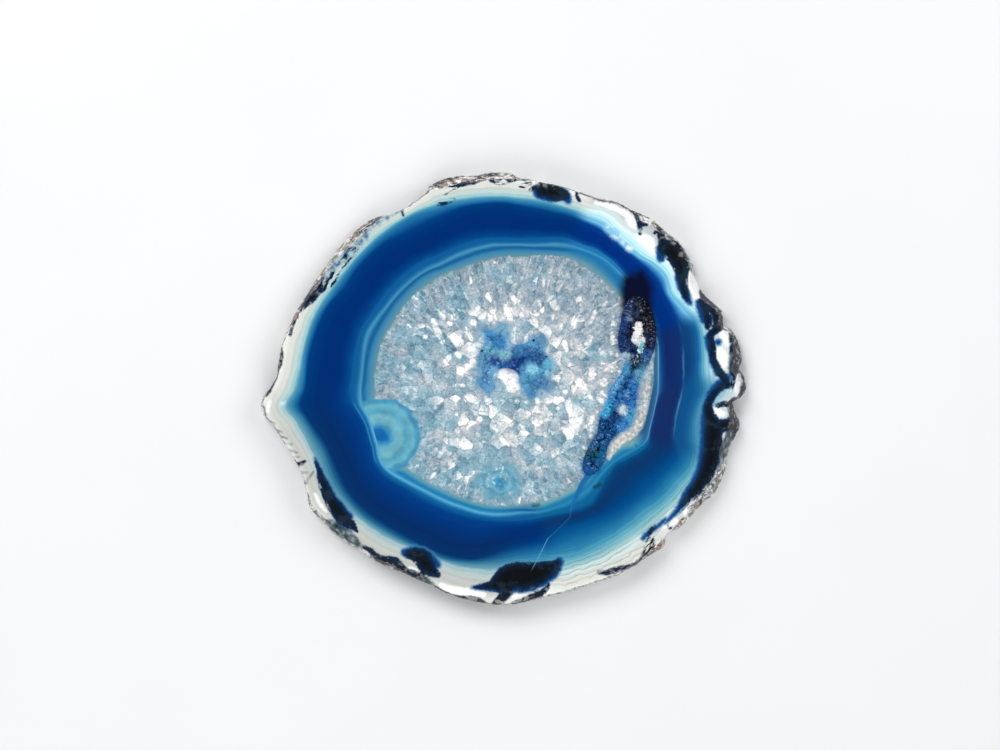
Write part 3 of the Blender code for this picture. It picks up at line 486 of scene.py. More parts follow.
GLOW_BANDS = [
    (0, (240, 242, 238)), (0.3, (206, 208, 202)), (0.5, (196, 199, 193)), (0.75, (192, 204, 200)),
    (0.92, (164, 192, 196)), (1.05, (112, 160, 182)), (1.4, (88, 148, 168)), (1.8, (56, 124, 154)),
    (2.2, (30, 94, 138)), (2.7, (10, 64, 118)), (3.05, (6, 49, 103)), (3.3, (8, 45, 100)),
    (3.5, (5, 48, 110)), (3.75, (3, 53, 123)), (3.95, (4, 62, 132)), (4.1, (8, 78, 143)),
    (4.4, (14, 92, 152)), (4.65, (24, 106, 162)), (4.85, (62, 146, 193)), (5.05, (98, 176, 214)),
    (5.3, (62, 150, 196)), (5.65, (40, 130, 178)), (5.95, (32, 120, 169)), (6.3, (54, 138, 178)),
    (6.6, (84, 154, 180)), (6.8, (100, 160, 180)), (7, (118, 166, 182)),
]

UPPER_BANDS = [
    (0, (178, 179, 175)), (0.15, (168, 169, 165)), (0.3, (190, 194, 192)), (0.5, (204, 216, 218)),
    (0.66, (214, 232, 234)), (0.78, (230, 249, 249)), (0.9, (210, 244, 250)), (1, (168, 230, 241)),
    (1.2, (196, 238, 247)), (1.5, (144, 211, 234)), (1.75, (104, 186, 224)),
    (2.05, (124, 194, 227)), (2.3, (80, 154, 206)), (2.6, (44, 118, 184)), (2.85, (16, 82, 156)),
    (3.05, (6, 58, 136)), (3.3, (2, 48, 126)), (3.75, (2, 47, 124)), (3.95, (7, 66, 136)),
    (4.1, (22, 96, 160)), (4.4, (34, 118, 178)), (4.7, (34, 118, 177)), (4.85, (44, 128, 182)),
    (5, (68, 148, 194)), (5.2, (44, 128, 180)), (5.6, (30, 114, 172)), (6, (38, 118, 170)),
    (6.4, (66, 134, 170)), (6.7, (96, 148, 168)), (7, (126, 160, 172)),
]

CORNER_BANDS = [
    (0, (236, 240, 238)), (0.4, (226, 234, 230)), (0.8, (196, 226, 230)), (1, (164, 214, 230)),
    (1.12, (126, 186, 208)), (1.25, (162, 212, 218)), (1.4, (124, 190, 208)), (1.6, (92, 168, 198)),
    (1.85, (48, 132, 178)), (2.05, (26, 100, 154)), (2.3, (18, 78, 136)), (2.6, (14, 66, 120)),
    (3, (14, 62, 120)), (3.15, (17, 48, 106)), (3.8, (17, 42, 102)), (4, (14, 62, 124)),
    (4.5, (30, 86, 140)), (4.8, (40, 100, 150)), (5, (112, 168, 202)), (5.2, (60, 116, 160)),
    (6, (48, 100, 142)), (7, (76, 124, 150)),
]

RIGHT_BANDS = [
    (0, (226, 232, 232)), (0.4, (206, 222, 222)), (0.75, (150, 196, 208)), (0.95, (70, 132, 172)),
    (1.3, (70, 144, 176)), (1.7, (44, 118, 162)), (2.1, (24, 96, 149)), (2.4, (15, 82, 137)),
    (2.9, (16, 78, 134)), (3.05, (18, 60, 116)), (3.2, (20, 46, 99)), (3.85, (22, 46, 100)),
    (4, (20, 56, 114)), (4.5, (28, 80, 136)), (4.8, (46, 102, 156)), (5, (96, 152, 192)),
    (5.3, (52, 106, 156)), (6, (42, 92, 136)), (6.7, (40, 88, 130)), (7, (76, 116, 142)),
]

LOWER_BANDS = [
    (0, (242, 243, 238)), (0.35, (228, 230, 223)), (0.55, (220, 226, 219)), (0.8, (216, 231, 228)),
    (1, (186, 216, 218)), (1.2, (150, 198, 204)), (1.5, (116, 182, 198)), (1.75, (84, 162, 188)),
    (2, (60, 144, 180)), (2.25, (38, 121, 167)), (2.6, (18, 98, 153)), (2.9, (6, 82, 141)),
    (3.2, (3, 68, 128)), (3.4, (7, 60, 115)), (3.65, (12, 54, 106)), (3.85, (10, 58, 110)),
    (4, (6, 74, 126)), (4.3, (16, 98, 150)), (4.6, (14, 100, 150)), (5, (44, 136, 180)),
    (5.4, (30, 118, 168)), (6, (40, 130, 172)), (6.5, (96, 160, 176)), (7, (146, 178, 182)),
]

# Where the threads run between the bands and how dark they are
THREADS = [
    (0.42, 0.4), (0.6, 0.6), (0.84, 0.75), (1.08, 0.7), (1.36, 0.65), (1.7, 0.5), (2.1, 0.35),
]

# The round eyes: centre, reach along x and y, whether the light line cuts it off, ring colours
EYES = [
    ((-23.0, -8.8), (7.6, 7.3), True, [
        (0, (20, 92, 160)), (0.15, (24, 104, 172)), (0.24, (62, 144, 188)),
        (0.34, (104, 172, 194)), (0.48, (118, 182, 198)), (0.6, (90, 162, 188)),
        (0.7, (96, 172, 198)), (0.8, (112, 182, 202)), (0.87, (76, 154, 188)),
        (0.95, (66, 148, 188)), (1.0, (104, 164, 184)),
    ]),
    ((-0.8, -17.5), (5.0, 4.0), False, [
        (0, (60, 148, 190)), (0.22, (70, 154, 192)), (0.4, (122, 180, 200)),
        (0.55, (86, 158, 188)), (0.72, (120, 176, 194)), (0.85, (108, 168, 188)),
        (1.0, (136, 172, 190)),
    ]),
]

# The sky, the lights and the camera
SKY_BRIGHT_UNTIL, SKY_DARK_FROM, SKY_STRENGTH = 0.8, 0.95, 0.4
LIGHT_DISTANCE = 0.7

LIGHTS = [
    ("key", 125, 48, 0.4, 2.7), ("fill", 20, 42, 0.45, 1.6), ("rear", 255, 40, 0.45, 1.6),
]

CAMERA_HEIGHT, FRAME_WIDTH, FRAME_CENTRE = 520.0, 187.5, (-0.66, 2.6)

# The room left at an edge, the thinnest band and the angle that stays sharp
EDGE_ROOM = 0.12
THINNEST_BAND = 0.05
SHARP_ANGLE = 38

# How marks are drawn: a degree's length near the rim, and the spacing of their points
DEGREE_LENGTH, MARK_SPACING = 0.7, 0.8
DYE_FALLOFF, DYE_EVERYWHERE = 1.6, 1e-5

# The quartz points in the hollows
POINTS_EACH = 13
SLOPE_STEP = 0.05
SIDE_SHARE, SIDE_LIFT, SIDE_SIZE = 0.95, 0.35, 0.6
LEAN, TIP_SHIFT = 0.13, 0.08
# The share of crystals painted as glints, and the plain white of the painted highlight, which is
# also the brightest any crystal's colour gets
PAINTED_GLINT_SHARE, BRIGHTEST = 0.75, 0.98

# The quartz's own values, and the radius where polar cells have their true width
QUARTZ_IOR = 1.54
CELL_SMOOTHNESS = 0.22
CELL_RADIUS = 20.0


def around(table, angle):
    """Values at an array of angles, on a smooth closed curve through (angle, value) pairs."""
    angles, values = np.array(table, float).T
    angles = np.concatenate((angles[-2:] - 360, angles, angles[:2] + 360))
    values = np.concatenate((values[-2:], values, values[:2]))
    slopes = np.diff(values) / np.diff(angles)
    before, after = slopes[:-1], slopes[1:]
    both = before * after
    total = np.where(both > 0, before + after, 1.0)
    tangents = np.zeros(len(values))
    tangents[1:-1] = np.where(both > 0, 2 * both / total, 0.0)
    angle = np.mod(angle, 360)
    i = np.clip(np.searchsorted(angles, angle, side="right") - 1, 0, len(angles) - 2)
    step = angles[i + 1] - angles[i]
    t = (angle - angles[i]) / step
    return (
        values[i] * (2 * t**3 - 3 * t**2 + 1) + values[i + 1] * (3 * t**2 - 2 * t**3)
        + tangents[i] * step * (t**3 - 2 * t**2 + t) + tangents[i + 1] * step * (t**3 - t**2)
    )


def directions(angle):
    """Flat unit vectors at an array of angles."""
    turn = np.radians(angle)
    return np.stack((np.cos(turn), np.sin(turn)), -1)


def unit(vectors):
    return vectors / np.linalg.norm(vectors, axis=1, keepdims=True)


def noise_at(x, y, z, size):
    """Smooth noise, about -1 to 1, at arrays of coordinates."""
    stacked = np.stack(np.broadcast_arrays(x, y, z), -1) / size
    found = [noise.noise(p) for p in stacked.reshape(-1, 3).tolist()]
    return np.array(found).reshape(stacked.shape[:-1])


def roughness_of_rind(x, y, z):
    """How far the rind is sunk below its outline: the lumps, ledges and pits of the part."""
    lumps = 0.5 + 0.5 * noise_at(x, y, z * 0.8, LUMP_SIZE)
    ledge = noise_at(x * 0.12 * LEDGE_HEIGHT, y * 0.12 * LEDGE_HEIGHT, z, LEDGE_HEIGHT)
    pit = noise_at(x + 31, y - 17, z, PIT_SIZE)
    return (
        LUMP_DEPTH * lumps
        + LEDGE_DEPTH * np.clip((ledge - 0.05) / 0.06, 0, 1)
        + PIT_DEPTH * np.maximum(0.0, pit - 0.15)
    )


def rim_points():
    """The rim as a grid of points, its levels from the back face up."""
    angle = np.arange(RIM_STEPS) * 360 / RIM_STEPS
    share = np.linspace(0, 1, RIM_LEVELS)[:, None]
    way = directions(angle)
    outer, inset = around(OUTLINE, angle), around(FACE_INSET, angle)
    inset_share = np.interp(share, *np.array(RIM_SECTION).T)
    z = share * THICKNESS
    x, y = (way * outer[:, None]).T
    middle = np.sqrt(np.sin(np.pi * share).clip(0))
    sunk = roughness_of_rind(x, y, z) * np.minimum(1.0, inset_share + 0.12)
    chip = CHIP_DEPTH * np.abs(noise_at(x, y, z + 40, CHIP_SIZE))
    grain = GRAIN_DEPTH * (0.5 + 0.5 * noise_at(x, y + 9, z, GRAIN_SIZE))
    pins = PIN_DEPTH * np.maximum(0.0, noise_at(x - 5, y, z + 3, PIN_SIZE) - 0.22)
    nicks = EDGE_DEPTH * np.abs(noise_at(x, y, 7 + 0 * z, EDGE_SIZE))
    distance = outer - inset * inset_share - chip - nicks - middle * (sunk + grain + pins)
    place = BAND_CENTRE + way * distance[..., None]
    return np.concatenate((place, np.broadcast_to(z, distance.shape)[..., None]), -1)


def closed_curve(points, steps):
    """Points along a smooth closed curve through the given ones, steps to each stretch."""
    p1 = np.array(points, float)
    p0, p2, p3 = (np.roll(p1, shift, 0) for shift in (1, -1, -2))
    t = (np.arange(steps) / steps)[:, None, None]
    curve = 0.5 * (
        2 * p1 + (p2 - p0) * t + (2 * p0 - 5 * p1 + 4 * p2 - p3) * t**2
        + (3 * p1 - p0 - 3 * p2 + p3) * t**3
    )
    return curve.transpose(1, 0, 2).reshape(-1, 2)


def is_inside(points, loop):
    """Which points lie inside a closed outline."""
    x, y = points[:, :1], points[:, 1:]
    x0, y0 = loop.T
    x1, y1 = np.roll(loop, -1, 0).T
    level = np.where(y1 == y0, 1.0, y1 - y0)
    crossing = ((y0 > y) != (y1 > y)) & (x < x0 + (y - y0) / level * (x1 - x0))
    return crossing.sum(1) % 2 == 1


def distance_to(points, loop):
    """Each point's distance to a closed outline, below 0 outside it."""
    ends = np.roll(loop, -1, 0)
    nearest = np.full(len(points), np.inf)
    for start, end in zip(loop, ends):
        along = end - start
        t = ((points - start) @ along / (along @ along)).clip(0, 1)
        nearest = np.minimum(nearest, np.linalg.norm(points - start - t[:, None] * along, axis=1))
    return np.where(is_inside(points, loop), nearest, -nearest)


def bowl_depth(hollow, distance):
    """A hollow's depth at a distance in from its mouth."""
    share = np.clip(distance / hollow["reach"], 0, 1)
    return hollow["side"] + (hollow["depth"] - hollow["side"]) * np.sin(share * np.pi / 2)


class Surface:
    """A mesh in the making: its points, its faces and the finish that each face has."""

    def __init__(self):
        self.points, self.faces, self.finishes = np.zeros((0, 3)), [], []

    def add_points(self, points):
        start = len(self.points)
        self.points = np.concatenate((self.points, points))
        return np.arange(start, len(self.points))

    def add_faces(self, faces, finish):
        self.faces += np.asarray(faces).tolist()
        self.finishes += [finish] * len(faces)

    def band_between(self, lower, upper, finish):
        """Four-sided faces between two closed rings, turned outwards for an anticlockwise rim."""
        rings = (lower, np.roll(lower, -1), np.roll(upper, -1), upper)
        self.add_faces(np.stack(rings, -1), finish)

    def fill(self, outer, holes, inner, finish, upwards=True):
        """Triangles that fill one closed ring, round its holes and through the inner points."""
        rings = [outer, *holes]
        ids = np.concatenate((*rings, inner))
        edges, start = [], 0
        for ring in rings:
            edges += [(start + i, start + (i + 1) % len(ring)) for i in range(len(ring))]
            start += len(ring)
        flat = self.points[ids, :2]
        made = geometry.delaunay_2d_cdt([Vector(p) for p in flat.tolist()], edges, [], 0, 1e-6)
        first = np.array([origins[0] for origins in made[3]])
        triangles = ids[first[np.array(made[2])]]
        middles = self.points[triangles, :2].mean(1)
        kept = is_inside(middles, self.points[outer, :2])
        for hole in holes:
            kept &= ~is_inside(middles, self.points[hole, :2])
        triangles = triangles[kept]
        self.add_faces(triangles if upwards else triangles[:, ::-1], finish)


def band_rings(edge, steps, counts):
    """Points on rings that follow the bands, from the face's edge in to the quartz."""
    angle = np.arange(steps) * 360 / steps
    contours = [edge - EDGE_ROOM] + [around(table, angle) for table in CONTOURS]
    radii = []
    for outer, inner, count in zip(contours, contours[1:], counts):
        radii += [outer + (inner - outer) * k / count for k in range(count)]
    radii.append(contours[-1])
    way = directions(angle)
    return np.concatenate([BAND_CENTRE + way * r[:, None] for r in radii])


def quartz_rings():
    """Evenly spread points over the quartz, on shrunken copies of its edge."""
    found = [BAND_CENTRE[None, :]]
    for k in range(1, QUARTZ_RINGS):
        share = 1 - k / QUARTZ_RINGS
        count = int(2 * math.pi * share * QUARTZ[0][1] / RING_SPACING)
        angle = np.arange(count) * 360 / count
        radius = around(QUARTZ, angle) * share
        found.append(BAND_CENTRE + directions(angle) * radius[:, None])
    return np.concatenate(found)


def at_height(flat, z):
    return np.concatenate((flat, np.broadcast_to(z, len(flat))[:, None]), 1)


def lattice(low, high, spacing):
    """Sites of a triangular lattice over a box."""
    rise = spacing * math.sqrt(3) / 2
    rows = np.arange(low[1], high[1] + rise, rise)
    columns = np.arange(low[0], high[0] + spacing, spacing)
    found = [
        np.stack((columns + spacing / 2 * (i % 2), np.full(len(columns), y)), -1)
        for i, y in enumerate(rows)
    ]
    return np.concatenate(found)


def stone_surface():
    """The whole stone: rim, front face round the hollows, the hollows and the back face."""
    surface = Surface()
    grid = rim_points()
    rim = surface.add_points(grid.reshape(-1, 3)).reshape(grid.shape[:2])
    for lower, upper in zip(rim, rim[1:]):
        surface.band_between(lower, upper, RIND)

    def inner_points(level, steps, counts):
        edge = np.linalg.norm(grid[level, :, :2] - BAND_CENTRE, axis=1)[:: RIM_STEPS // steps]
        return np.concatenate((band_rings(edge, steps, counts), quartz_rings()))

    inner = inner_points(-1, FACE_STEPS, FACE_COUNTS)
    mouths = []
    for hollow in (VUG, POCKET):
        loop = closed_curve(hollow["mouth"], MOUTH_STEPS)[::-1]
        inner = inner[distance_to(inner, loop) < -EDGE_ROOM]
        mouths.append(surface.add_points(at_height(loop, THICKNESS)))
        lower = surface.add_points(at_height(loop, THICKNESS - hollow["side"]))
        surface.band_between(mouths[-1], lower, HOLLOW)
        sites = lattice(loop.min(0), loop.max(0), FLOOR_SPACING)
        inside = distance_to(sites, loop)
        sites, inside = sites[inside > FLOOR_SPACING / 2], inside[inside > FLOOR_SPACING / 2]
        floor = surface.add_points(at_height(sites, THICKNESS - bowl_depth(hollow, inside)))
        surface.fill(lower, [], floor, HOLLOW)
    surface.fill(rim[-1], mouths, surface.add_points(at_height(inner, THICKNESS)), POLISHED)
    back = surface.add_points(at_height(inner_points(0, BACK_STEPS, BACK_COUNTS), 0.0))
    surface.fill(rim[0], [], back, POLISHED, upwards=False)
    return surface


def placed(mark):
    """A mark's (angle, distance, half width) points as x, y and half width, closely spaced."""
    angle, distance, half = np.array(mark, float).T
    steps = np.hypot(np.diff(angle) * DEGREE_LENGTH, np.diff(distance))
    span = np.concatenate(([0], np.cumsum(steps)))
    at = np.linspace(0, span[-1], max(2, int(span[-1] / MARK_SPACING) + 2))
    radius = np.interp(at, span, distance)[:, None]
    flat = BAND_CENTRE + radius * directions(np.interp(at, span, angle))
    return np.column_stack((flat, np.interp(at, span, half)))


def depth_in_marks(points, marks, reach=2.0):
    """How far each point lies inside the nearest mark, down to -reach outside them all."""
    best = np.full(len(points), -reach)
    for mark in marks:
        for start, end in zip(mark, mark[1:] if len(mark) > 1 else mark):
            along = end[:2] - start[:2]
            t = ((points - start[:2]) @ along / max(along @ along, 1e-9)).clip(0, 1)
            distance = np.linalg.norm(points - start[:2] - t[:, None] * along, axis=1)
            best = np.maximum(best, start[2] + (end[2] - start[2]) * t - distance)
    return best


def between(angle, start, end, soft):
    """1 between two angles, falling smoothly to 0 over soft degrees outside them."""
    middle, half = (start + end) / 2, (end - start) / 2
    away = np.abs(np.mod(angle - middle + 180, 360) - 180) - half
    t = np.clip(1 - away / soft, 0, 1)
    return t * t * (3 - 2 * t)


def band_of(angle, radius):
    """Where a point lies between the bands: 0 at the rind, then 1 to 7 at the contours."""
    contours = [around(table, angle) for table in (OUTLINE, *CONTOURS)]
    band = np.clip((contours[0] - radius) / (contours[0] - contours[1]), -1, 1)
    for outer, inner in zip(contours[1:], contours[2:]):
        band += np.clip((outer - radius) / np.maximum(outer - inner, THINNEST_BAND), 0, 1)
    return band + np.maximum(0, contours[-1] - radius) / QUARTZ_STEP


def dye_at(points, hollow):
    """The dye's colour at points in a hollow, blended from where it gathers."""
    x, y, spread = np.array([spot[:3] for spot in hollow["dye"]]).T
    colours = np.array([linear(spot[3]) for spot in hollow["dye"]])
    away = np.hypot(points[:, :1] - x, points[:, 1:2] - y) / spread
    weight = np.exp(-away**2 * DYE_FALLOFF) + DYE_EVERYWHERE / (1 + away**4)
    return (weight @ colours) / weight.sum(1, keepdims=True)


def linear(colour):
    """A colour as seen, in 0 to 255, as the light that a surface sends back."""
    c = np.array(colour, float) / 255
    return np.where(c <= 0.04045, c / 12.92, ((c + 0.055) / 1.055) ** 2.4)


def set_values(mesh, name, values):
    mesh.attributes.new(name, "FLOAT", "POINT").data.foreach_set("value", values)


def set_colours(mesh, name, colours):
    rgba = np.concatenate((colours, np.ones((len(colours), 1))), 1)
    mesh.attributes.new(name, "FLOAT_COLOR", "POINT").data.foreach_set("color", rgba.ravel())


def make_object(name, points, faces, finishes=None):
    mesh = bpy.data.meshes.new(name)
    mesh.from_pydata((points * MM).tolist(), [], faces)
    if finishes is not None:
        mesh.polygons.foreach_set("material_index", finishes)
    obj = bpy.data.objects.new(name, mesh)
    bpy.context.scene.collection.objects.link(obj)
    return obj


def agate_stone():
    surface = stone_surface()
    stone = make_object("agate_stone", surface.points, surface.faces, surface.finishes)
    flat = surface.points[:, :2]
    offset = flat - BAND_CENTRE
    angle = np.degrees(np.arctan2(offset[:, 1], offset[:, 0]))
    mesh = stone.data
    set_values(mesh, "band", band_of(angle, np.linalg.norm(offset, axis=1)))
    for name, marks in POLAR_MARKS.items():
        set_values(mesh, name, depth_in_marks(flat, [placed(mark) for mark in marks]))
    for name, marks in PLAIN_MARKS.items():
        set_values(mesh, name, depth_in_marks(flat, [np.array(mark) for mark in marks]))
    for name, stretches in SIDES.items():
        set_values(mesh, name, np.max([between(angle, *limits) for limits in stretches], axis=0))
    dye = np.where(flat[:, :1] > HOLLOWS_PART, dye_at(flat, VUG), dye_at(flat, POCKET))
    set_colours(mesh, "dye", dye)
    for name, hollow in (("vug", VUG), ("pocket", POCKET)):
        loop = closed_curve(hollow["mouth"], MOUTH_STEPS)
        set_values(mesh, name, distance_to(flat, loop).clip(-4, 4))
    mesh.shade_smooth()
    mesh.set_sharp_from_angle(angle=math.radians(SHARP_ANGLE))
    return stone


def quartz_points(name, hollow):
    """A crust of six-sided quartz points that stand on a hollow's floor and sides."""
    rng = np.random.default_rng(hollow["seed"])
    loop = closed_curve(hollow["mouth"], MOUTH_STEPS)
    sites = lattice(loop.min(0), loop.max(0), hollow["spacing"])
    sites = sites + rng.uniform(-0.4, 0.4, sites.shape) * hollow["spacing"]
    inside = distance_to(sites, loop)
    sites, inside = sites[inside > 0.02], inside[inside > 0.02]

    def floor_at(flat):
        return THICKNESS - bowl_depth(hollow, distance_to(flat, loop))

    slope = np.stack([
        (floor_at(sites + offset) - floor_at(sites - offset)) / (2 * SLOPE_STEP)
        for offset in np.eye(2) * SLOPE_STEP
    ], -1)
    slope = np.where(inside[:, None] > SLOPE_STEP * 2, slope, 0)
    foot, normal = at_height(sites, floor_at(sites)), at_height(-slope, 1.0)

    # Rows of points on the steep side, just under the face
    inward = np.roll(loop, 1, 0) - np.roll(loop, -1, 0)
    inward = unit(np.stack((-inward[:, 1], inward[:, 0]), 1))
    for level in hollow["levels"]:
        picked = rng.random(len(loop)) < SIDE_SHARE
        side = loop[picked]
        z = THICKNESS - level + rng.uniform(-0.12, 0.12, len(side))
        foot = np.concatenate((foot, at_height(side, z)))
        normal = np.concatenate((normal, at_height(inward[picked], SIDE_LIFT)))
    size = rng.lognormal(0, 0.2, len(foot)).clip(0.65, 1.6)
    radius = hollow["radius"] * size
    radius[len(sites):] *= SIDE_SIZE
    length = hollow["length"] * size * rng.uniform(0.88, 1.12, len(foot))

    single = np.array(hollow["points"])
    foot = np.concatenate((foot, at_height(single[:, :2], floor_at(single[:, :2]))))
    normal = np.concatenate((normal, np.tile((0.0, 0.0, 1.0), (len(single), 1))))
    radius = np.concatenate((radius, single[:, 2]))
    length = np.concatenate((length, single[:, 3]))
    return crystals(name, hollow, rng, foot, normal, radius, length)


def crystals(name, hollow, rng, foot, normal, radius, length):
    """Six-sided prisms with six-sided tips, one standing on each foot."""
    axis = unit(normal)
    axis = unit(axis + rng.normal(0, LEAN, axis.shape))
    room = (THICKNESS - BELOW_FACE - foot[:, 2]) / np.maximum(axis[:, 2], 0.2)
    length = np.minimum(length, room - radius * 0.4)
    kept = length > radius * 0.5
    foot, axis, radius, length = foot[kept], axis[kept], radius[kept], length[kept]
    count = len(foot)
    side = unit(np.cross(axis, np.where(np.abs(axis[:, 2:]) < 0.9, (0, 0, 1), (1, 0, 0))))
    other = np.cross(axis, side)
    turn = rng.uniform(0, math.pi / 3, count)[:, None] + np.arange(6) * math.pi / 3
    ring = (
        side[:, None] * np.cos(turn)[..., None] + other[:, None] * np.sin(turn)[..., None]
    ) * (radius[:, None] * rng.uniform(0.8, 1.15, (count, 6)))[..., None]
    base = foot[:, None] + ring * 0.9 - axis[:, None] * 0.15
    shoulder_height = np.maximum(length - radius * 0.8, 0.05 * length)[:, None, None]
    shoulder = foot[:, None] + ring + axis[:, None] * shoulder_height
    tip = foot + axis * length[:, None] + rng.normal(0, TIP_SHIFT, (count, 3)) * radius[:, None]
    points = np.concatenate((base, shoulder, tip[:, None]), 1)
    points[..., 2] = np.minimum(points[..., 2], THICKNESS - BELOW_FACE)
    points = points.reshape(-1, 3)
    i, j = np.arange(6), (np.arange(6) + 1) % 6
    sides = np.stack((i, j, j + 6, i + 6), -1)
    tips = np.stack((i + 6, j + 6, np.full(6, 12)), -1)
    starts = np.arange(count)[:, None, None] * POINTS_EACH
    faces = (sides + starts).reshape(-1, 4).tolist() + (tips + starts).reshape(-1, 3).tolist()
    faces += (i[::-1] + starts[:, 0]).tolist()
    crust = make_object(name, points, faces)
    set_colours(crust.data, "dye", crystal_colours(hollow, rng, foot, points))
    return crust


def crystal_colours(hollow, rng, foot, points):
    """Each crystal's dye, with a brightness of its own at random; some painted glints, and some
    painted plain white as a highlight.
    """

    def to_points(values):
        return np.repeat(values, POINTS_EACH, 0)

    count = len(foot)
    dye = dye_at(points, hollow) * to_points(rng.lognormal(0, hollow["contrast"], count))[:, None]
    painted_glints = np.array([linear(colour) for colour in PAINTED_GLINT_COLOURS])
    # Painted glints: some crystals near these places take glint colours
    for x, y, reach in hollow["painted_glints"]:
        near = np.hypot(foot[:, 0] - x, foot[:, 1] - y) < reach
        chosen = (rng.random(count) < PAINTED_GLINT_SHARE) & near
        colours = painted_glints[rng.integers(len(painted_glints), size=count)]
        dye = np.where(to_points(chosen)[:, None], to_points(colours), dye)
    # Painted highlight: crystals whose feet lie near these places are coloured plain white
    for x, y, reach in hollow["painted_highlight"]:
        near = np.hypot(foot[:, 0] - x, foot[:, 1] - y) < reach
        dye = np.where(to_points(near)[:, None], BRIGHTEST, dye)
    return dye.clip(0, BRIGHTEST)


class Finish:
    """A node material in the making."""

    def __init__(self, name):
        self.material = bpy.data.materials.new(name)
        self.material.use_nodes = True
        self.tree = self.material.node_tree
        self.tree.nodes.clear()
        self.shader = self.node("ShaderNodeBsdfPrincipled")
        output = self.node("ShaderNodeOutputMaterial")
        self.tree.links.new(self.shader.outputs[0], output.inputs["Surface"])
        coordinates = self.node("ShaderNodeTexCoord").outputs["Object"]
        self.place = self.scaled(coordinates, 1 / MM)
        self.x, self.y, self.z = self.parts(self.place)

    def put(self, socket, value):
        if isinstance(value, bpy.types.NodeSocket):
            self.tree.links.new(value, socket)
        else:
            socket.default_value = value

    def node(self, kind, *values, **settings):
        """A new node, with values for its first sockets."""
        made = self.tree.nodes.new(kind)
        for name, value in settings.items():
            setattr(made, name, value)
        for socket, value in zip(made.inputs, values):
            self.put(socket, value)
        return made

    def outputs(self, made, **values):
        """A node's outputs, once the sockets named are filled."""
        for name, value in values.items():
            self.put(made.inputs[name.replace("_", " ")], value)
        return made.outputs

    def set(self, **values):
        self.outputs(self.shader, **values)

    def attribute(self, name, output="Fac"):
        return self.node("ShaderNodeAttribute", attribute_name=name).outputs[output]

    def math(self, operation, *values, clamp=False):
        made = self.node("ShaderNodeMath", *values, operation=operation, use_clamp=clamp)
        return made.outputs[0]

    def times(self, one, other):
        return self.math("MULTIPLY", one, other)

    def plus(self, one, other):
        return self.math("ADD", one, other)

    def minus(self, one, other):
        return self.math("SUBTRACT", one, other)

    def most(self, one, other):
        return self.math("MAXIMUM", one, other)

    def fit(self, value, factor, start):
        """A value times a factor, added to a start."""
        return self.math("MULTIPLY_ADD", value, factor, start)

    def vector(self, operation, *values):
        made = self.node("ShaderNodeVectorMath", *values, operation=operation)
        return made.outputs["Value" if operation in ("LENGTH", "DOT_PRODUCT") else "Vector"]

    def scaled(self, colour, factor):
        made = self.node("ShaderNodeVectorMath", colour, operation="SCALE")
        return self.outputs(made, Scale=factor)["Vector"]

    def parts(self, value, kind="ShaderNodeSeparateXYZ"):
        """The three numbers in a vector or a colour."""
        return self.node(kind, value).outputs

    def from_centre(self):
        """The place as seen from the bands' centre."""
        return self.vector("SUBTRACT", self.place, (*BAND_CENTRE, 0.0))

    def sideways(self, offset):
        """An offset's length, its height left out."""
        return self.vector("LENGTH", self.vector("MULTIPLY", offset, (1.0, 1.0, 0.0)))

    def noise(self, size, detail, place=None, output="Fac"):
        """Smooth noise, 0 to 1, whose largest features are about size millimetres apart."""
        made = self.node("ShaderNodeTexNoise")
        values = {"Vector": place or self.place, "Scale": 1 / size, "Detail": detail}
        return self.outputs(made, **values)[output]

    def sway(self, size, detail, reach):
        """Noise about 0, reach from its lowest to its highest."""
        return self.fit(self.noise(size, detail), reach, -reach / 2)

    def patches(self, size, detail, low, high):
        """Soft-edged patches of noise, from 0 to 1."""
        return self.step(self.noise(size, detail), low, high)

    def stray(self, size):
        """A vector of noise about 0."""
        return self.vector("SUBTRACT", self.noise(size, 2, output="Color"), (0.5, 0.5, 0.5))

    def cells(self, place, scale, feature):
        """The outputs of a Voronoi texture."""
        made = self.node("ShaderNodeTexVoronoi", feature=feature)
        if feature == "SMOOTH_F1":
            self.put(made.inputs["Smoothness"], CELL_SMOOTHNESS)
        return self.outputs(made, Vector=place, Scale=scale)

    def stripes(self, along, count, detail):
        """Noise that changes only along one value, count features to each unit."""
        made = self.node("ShaderNodeTexNoise", noise_dimensions="1D")
        return self.outputs(made, W=along, Scale=count, Detail=detail)["Fac"]

    def step(self, value, low, high):
        """0 below low, 1 above high, smooth between them."""
        made = self.node("ShaderNodeMapRange", value, low, high, interpolation_type="SMOOTHSTEP")
        return made.outputs[0]

    def near(self, value, level, width, full=0.0):
        """1 while a value is within full of a level, 0 once it is width away."""
        return self.step(self.math("ABSOLUTE", self.minus(value, level)), width, full)

    def ramp(self, value, stops):
        """Colours, as seen, at points along a value; each stop is (value, colour)."""
        low, span = stops[0][0], stops[-1][0] - stops[0][0]
        made = self.node("ShaderNodeValToRGB", self.fit(value, 1 / span, -low / span))
        elements = made.color_ramp.elements
        while len(elements) < len(stops):
            elements.new(1.0)
        for element, (at, colour) in zip(elements, stops):
            element.position = (at - low) / span
            element.color = (*linear(colour), 1.0)
        return made.outputs[0]

    def curve(self, value, points):
        """Straight stretches through (value, result) pairs."""
        at, results = np.array(points).T
        start, span = at[0], at[-1] - at[0]
        low, rise = results.min(), results.max() - results.min()
        made = self.node("ShaderNodeFloatCurve")
        self.put(made.inputs["Value"], self.fit(value, 1 / span, -start / span))
        curve = made.mapping.curves[0]
        while len(curve.points) < len(points):
            curve.points.new(0.5, 0.5)
        for point, x, y in zip(curve.points, at, results):
            point.location = ((x - start) / span, (y - low) / rise)
            point.handle_type = "VECTOR"
        made.mapping.update()
        return self.fit(made.outputs[0], rise, low)

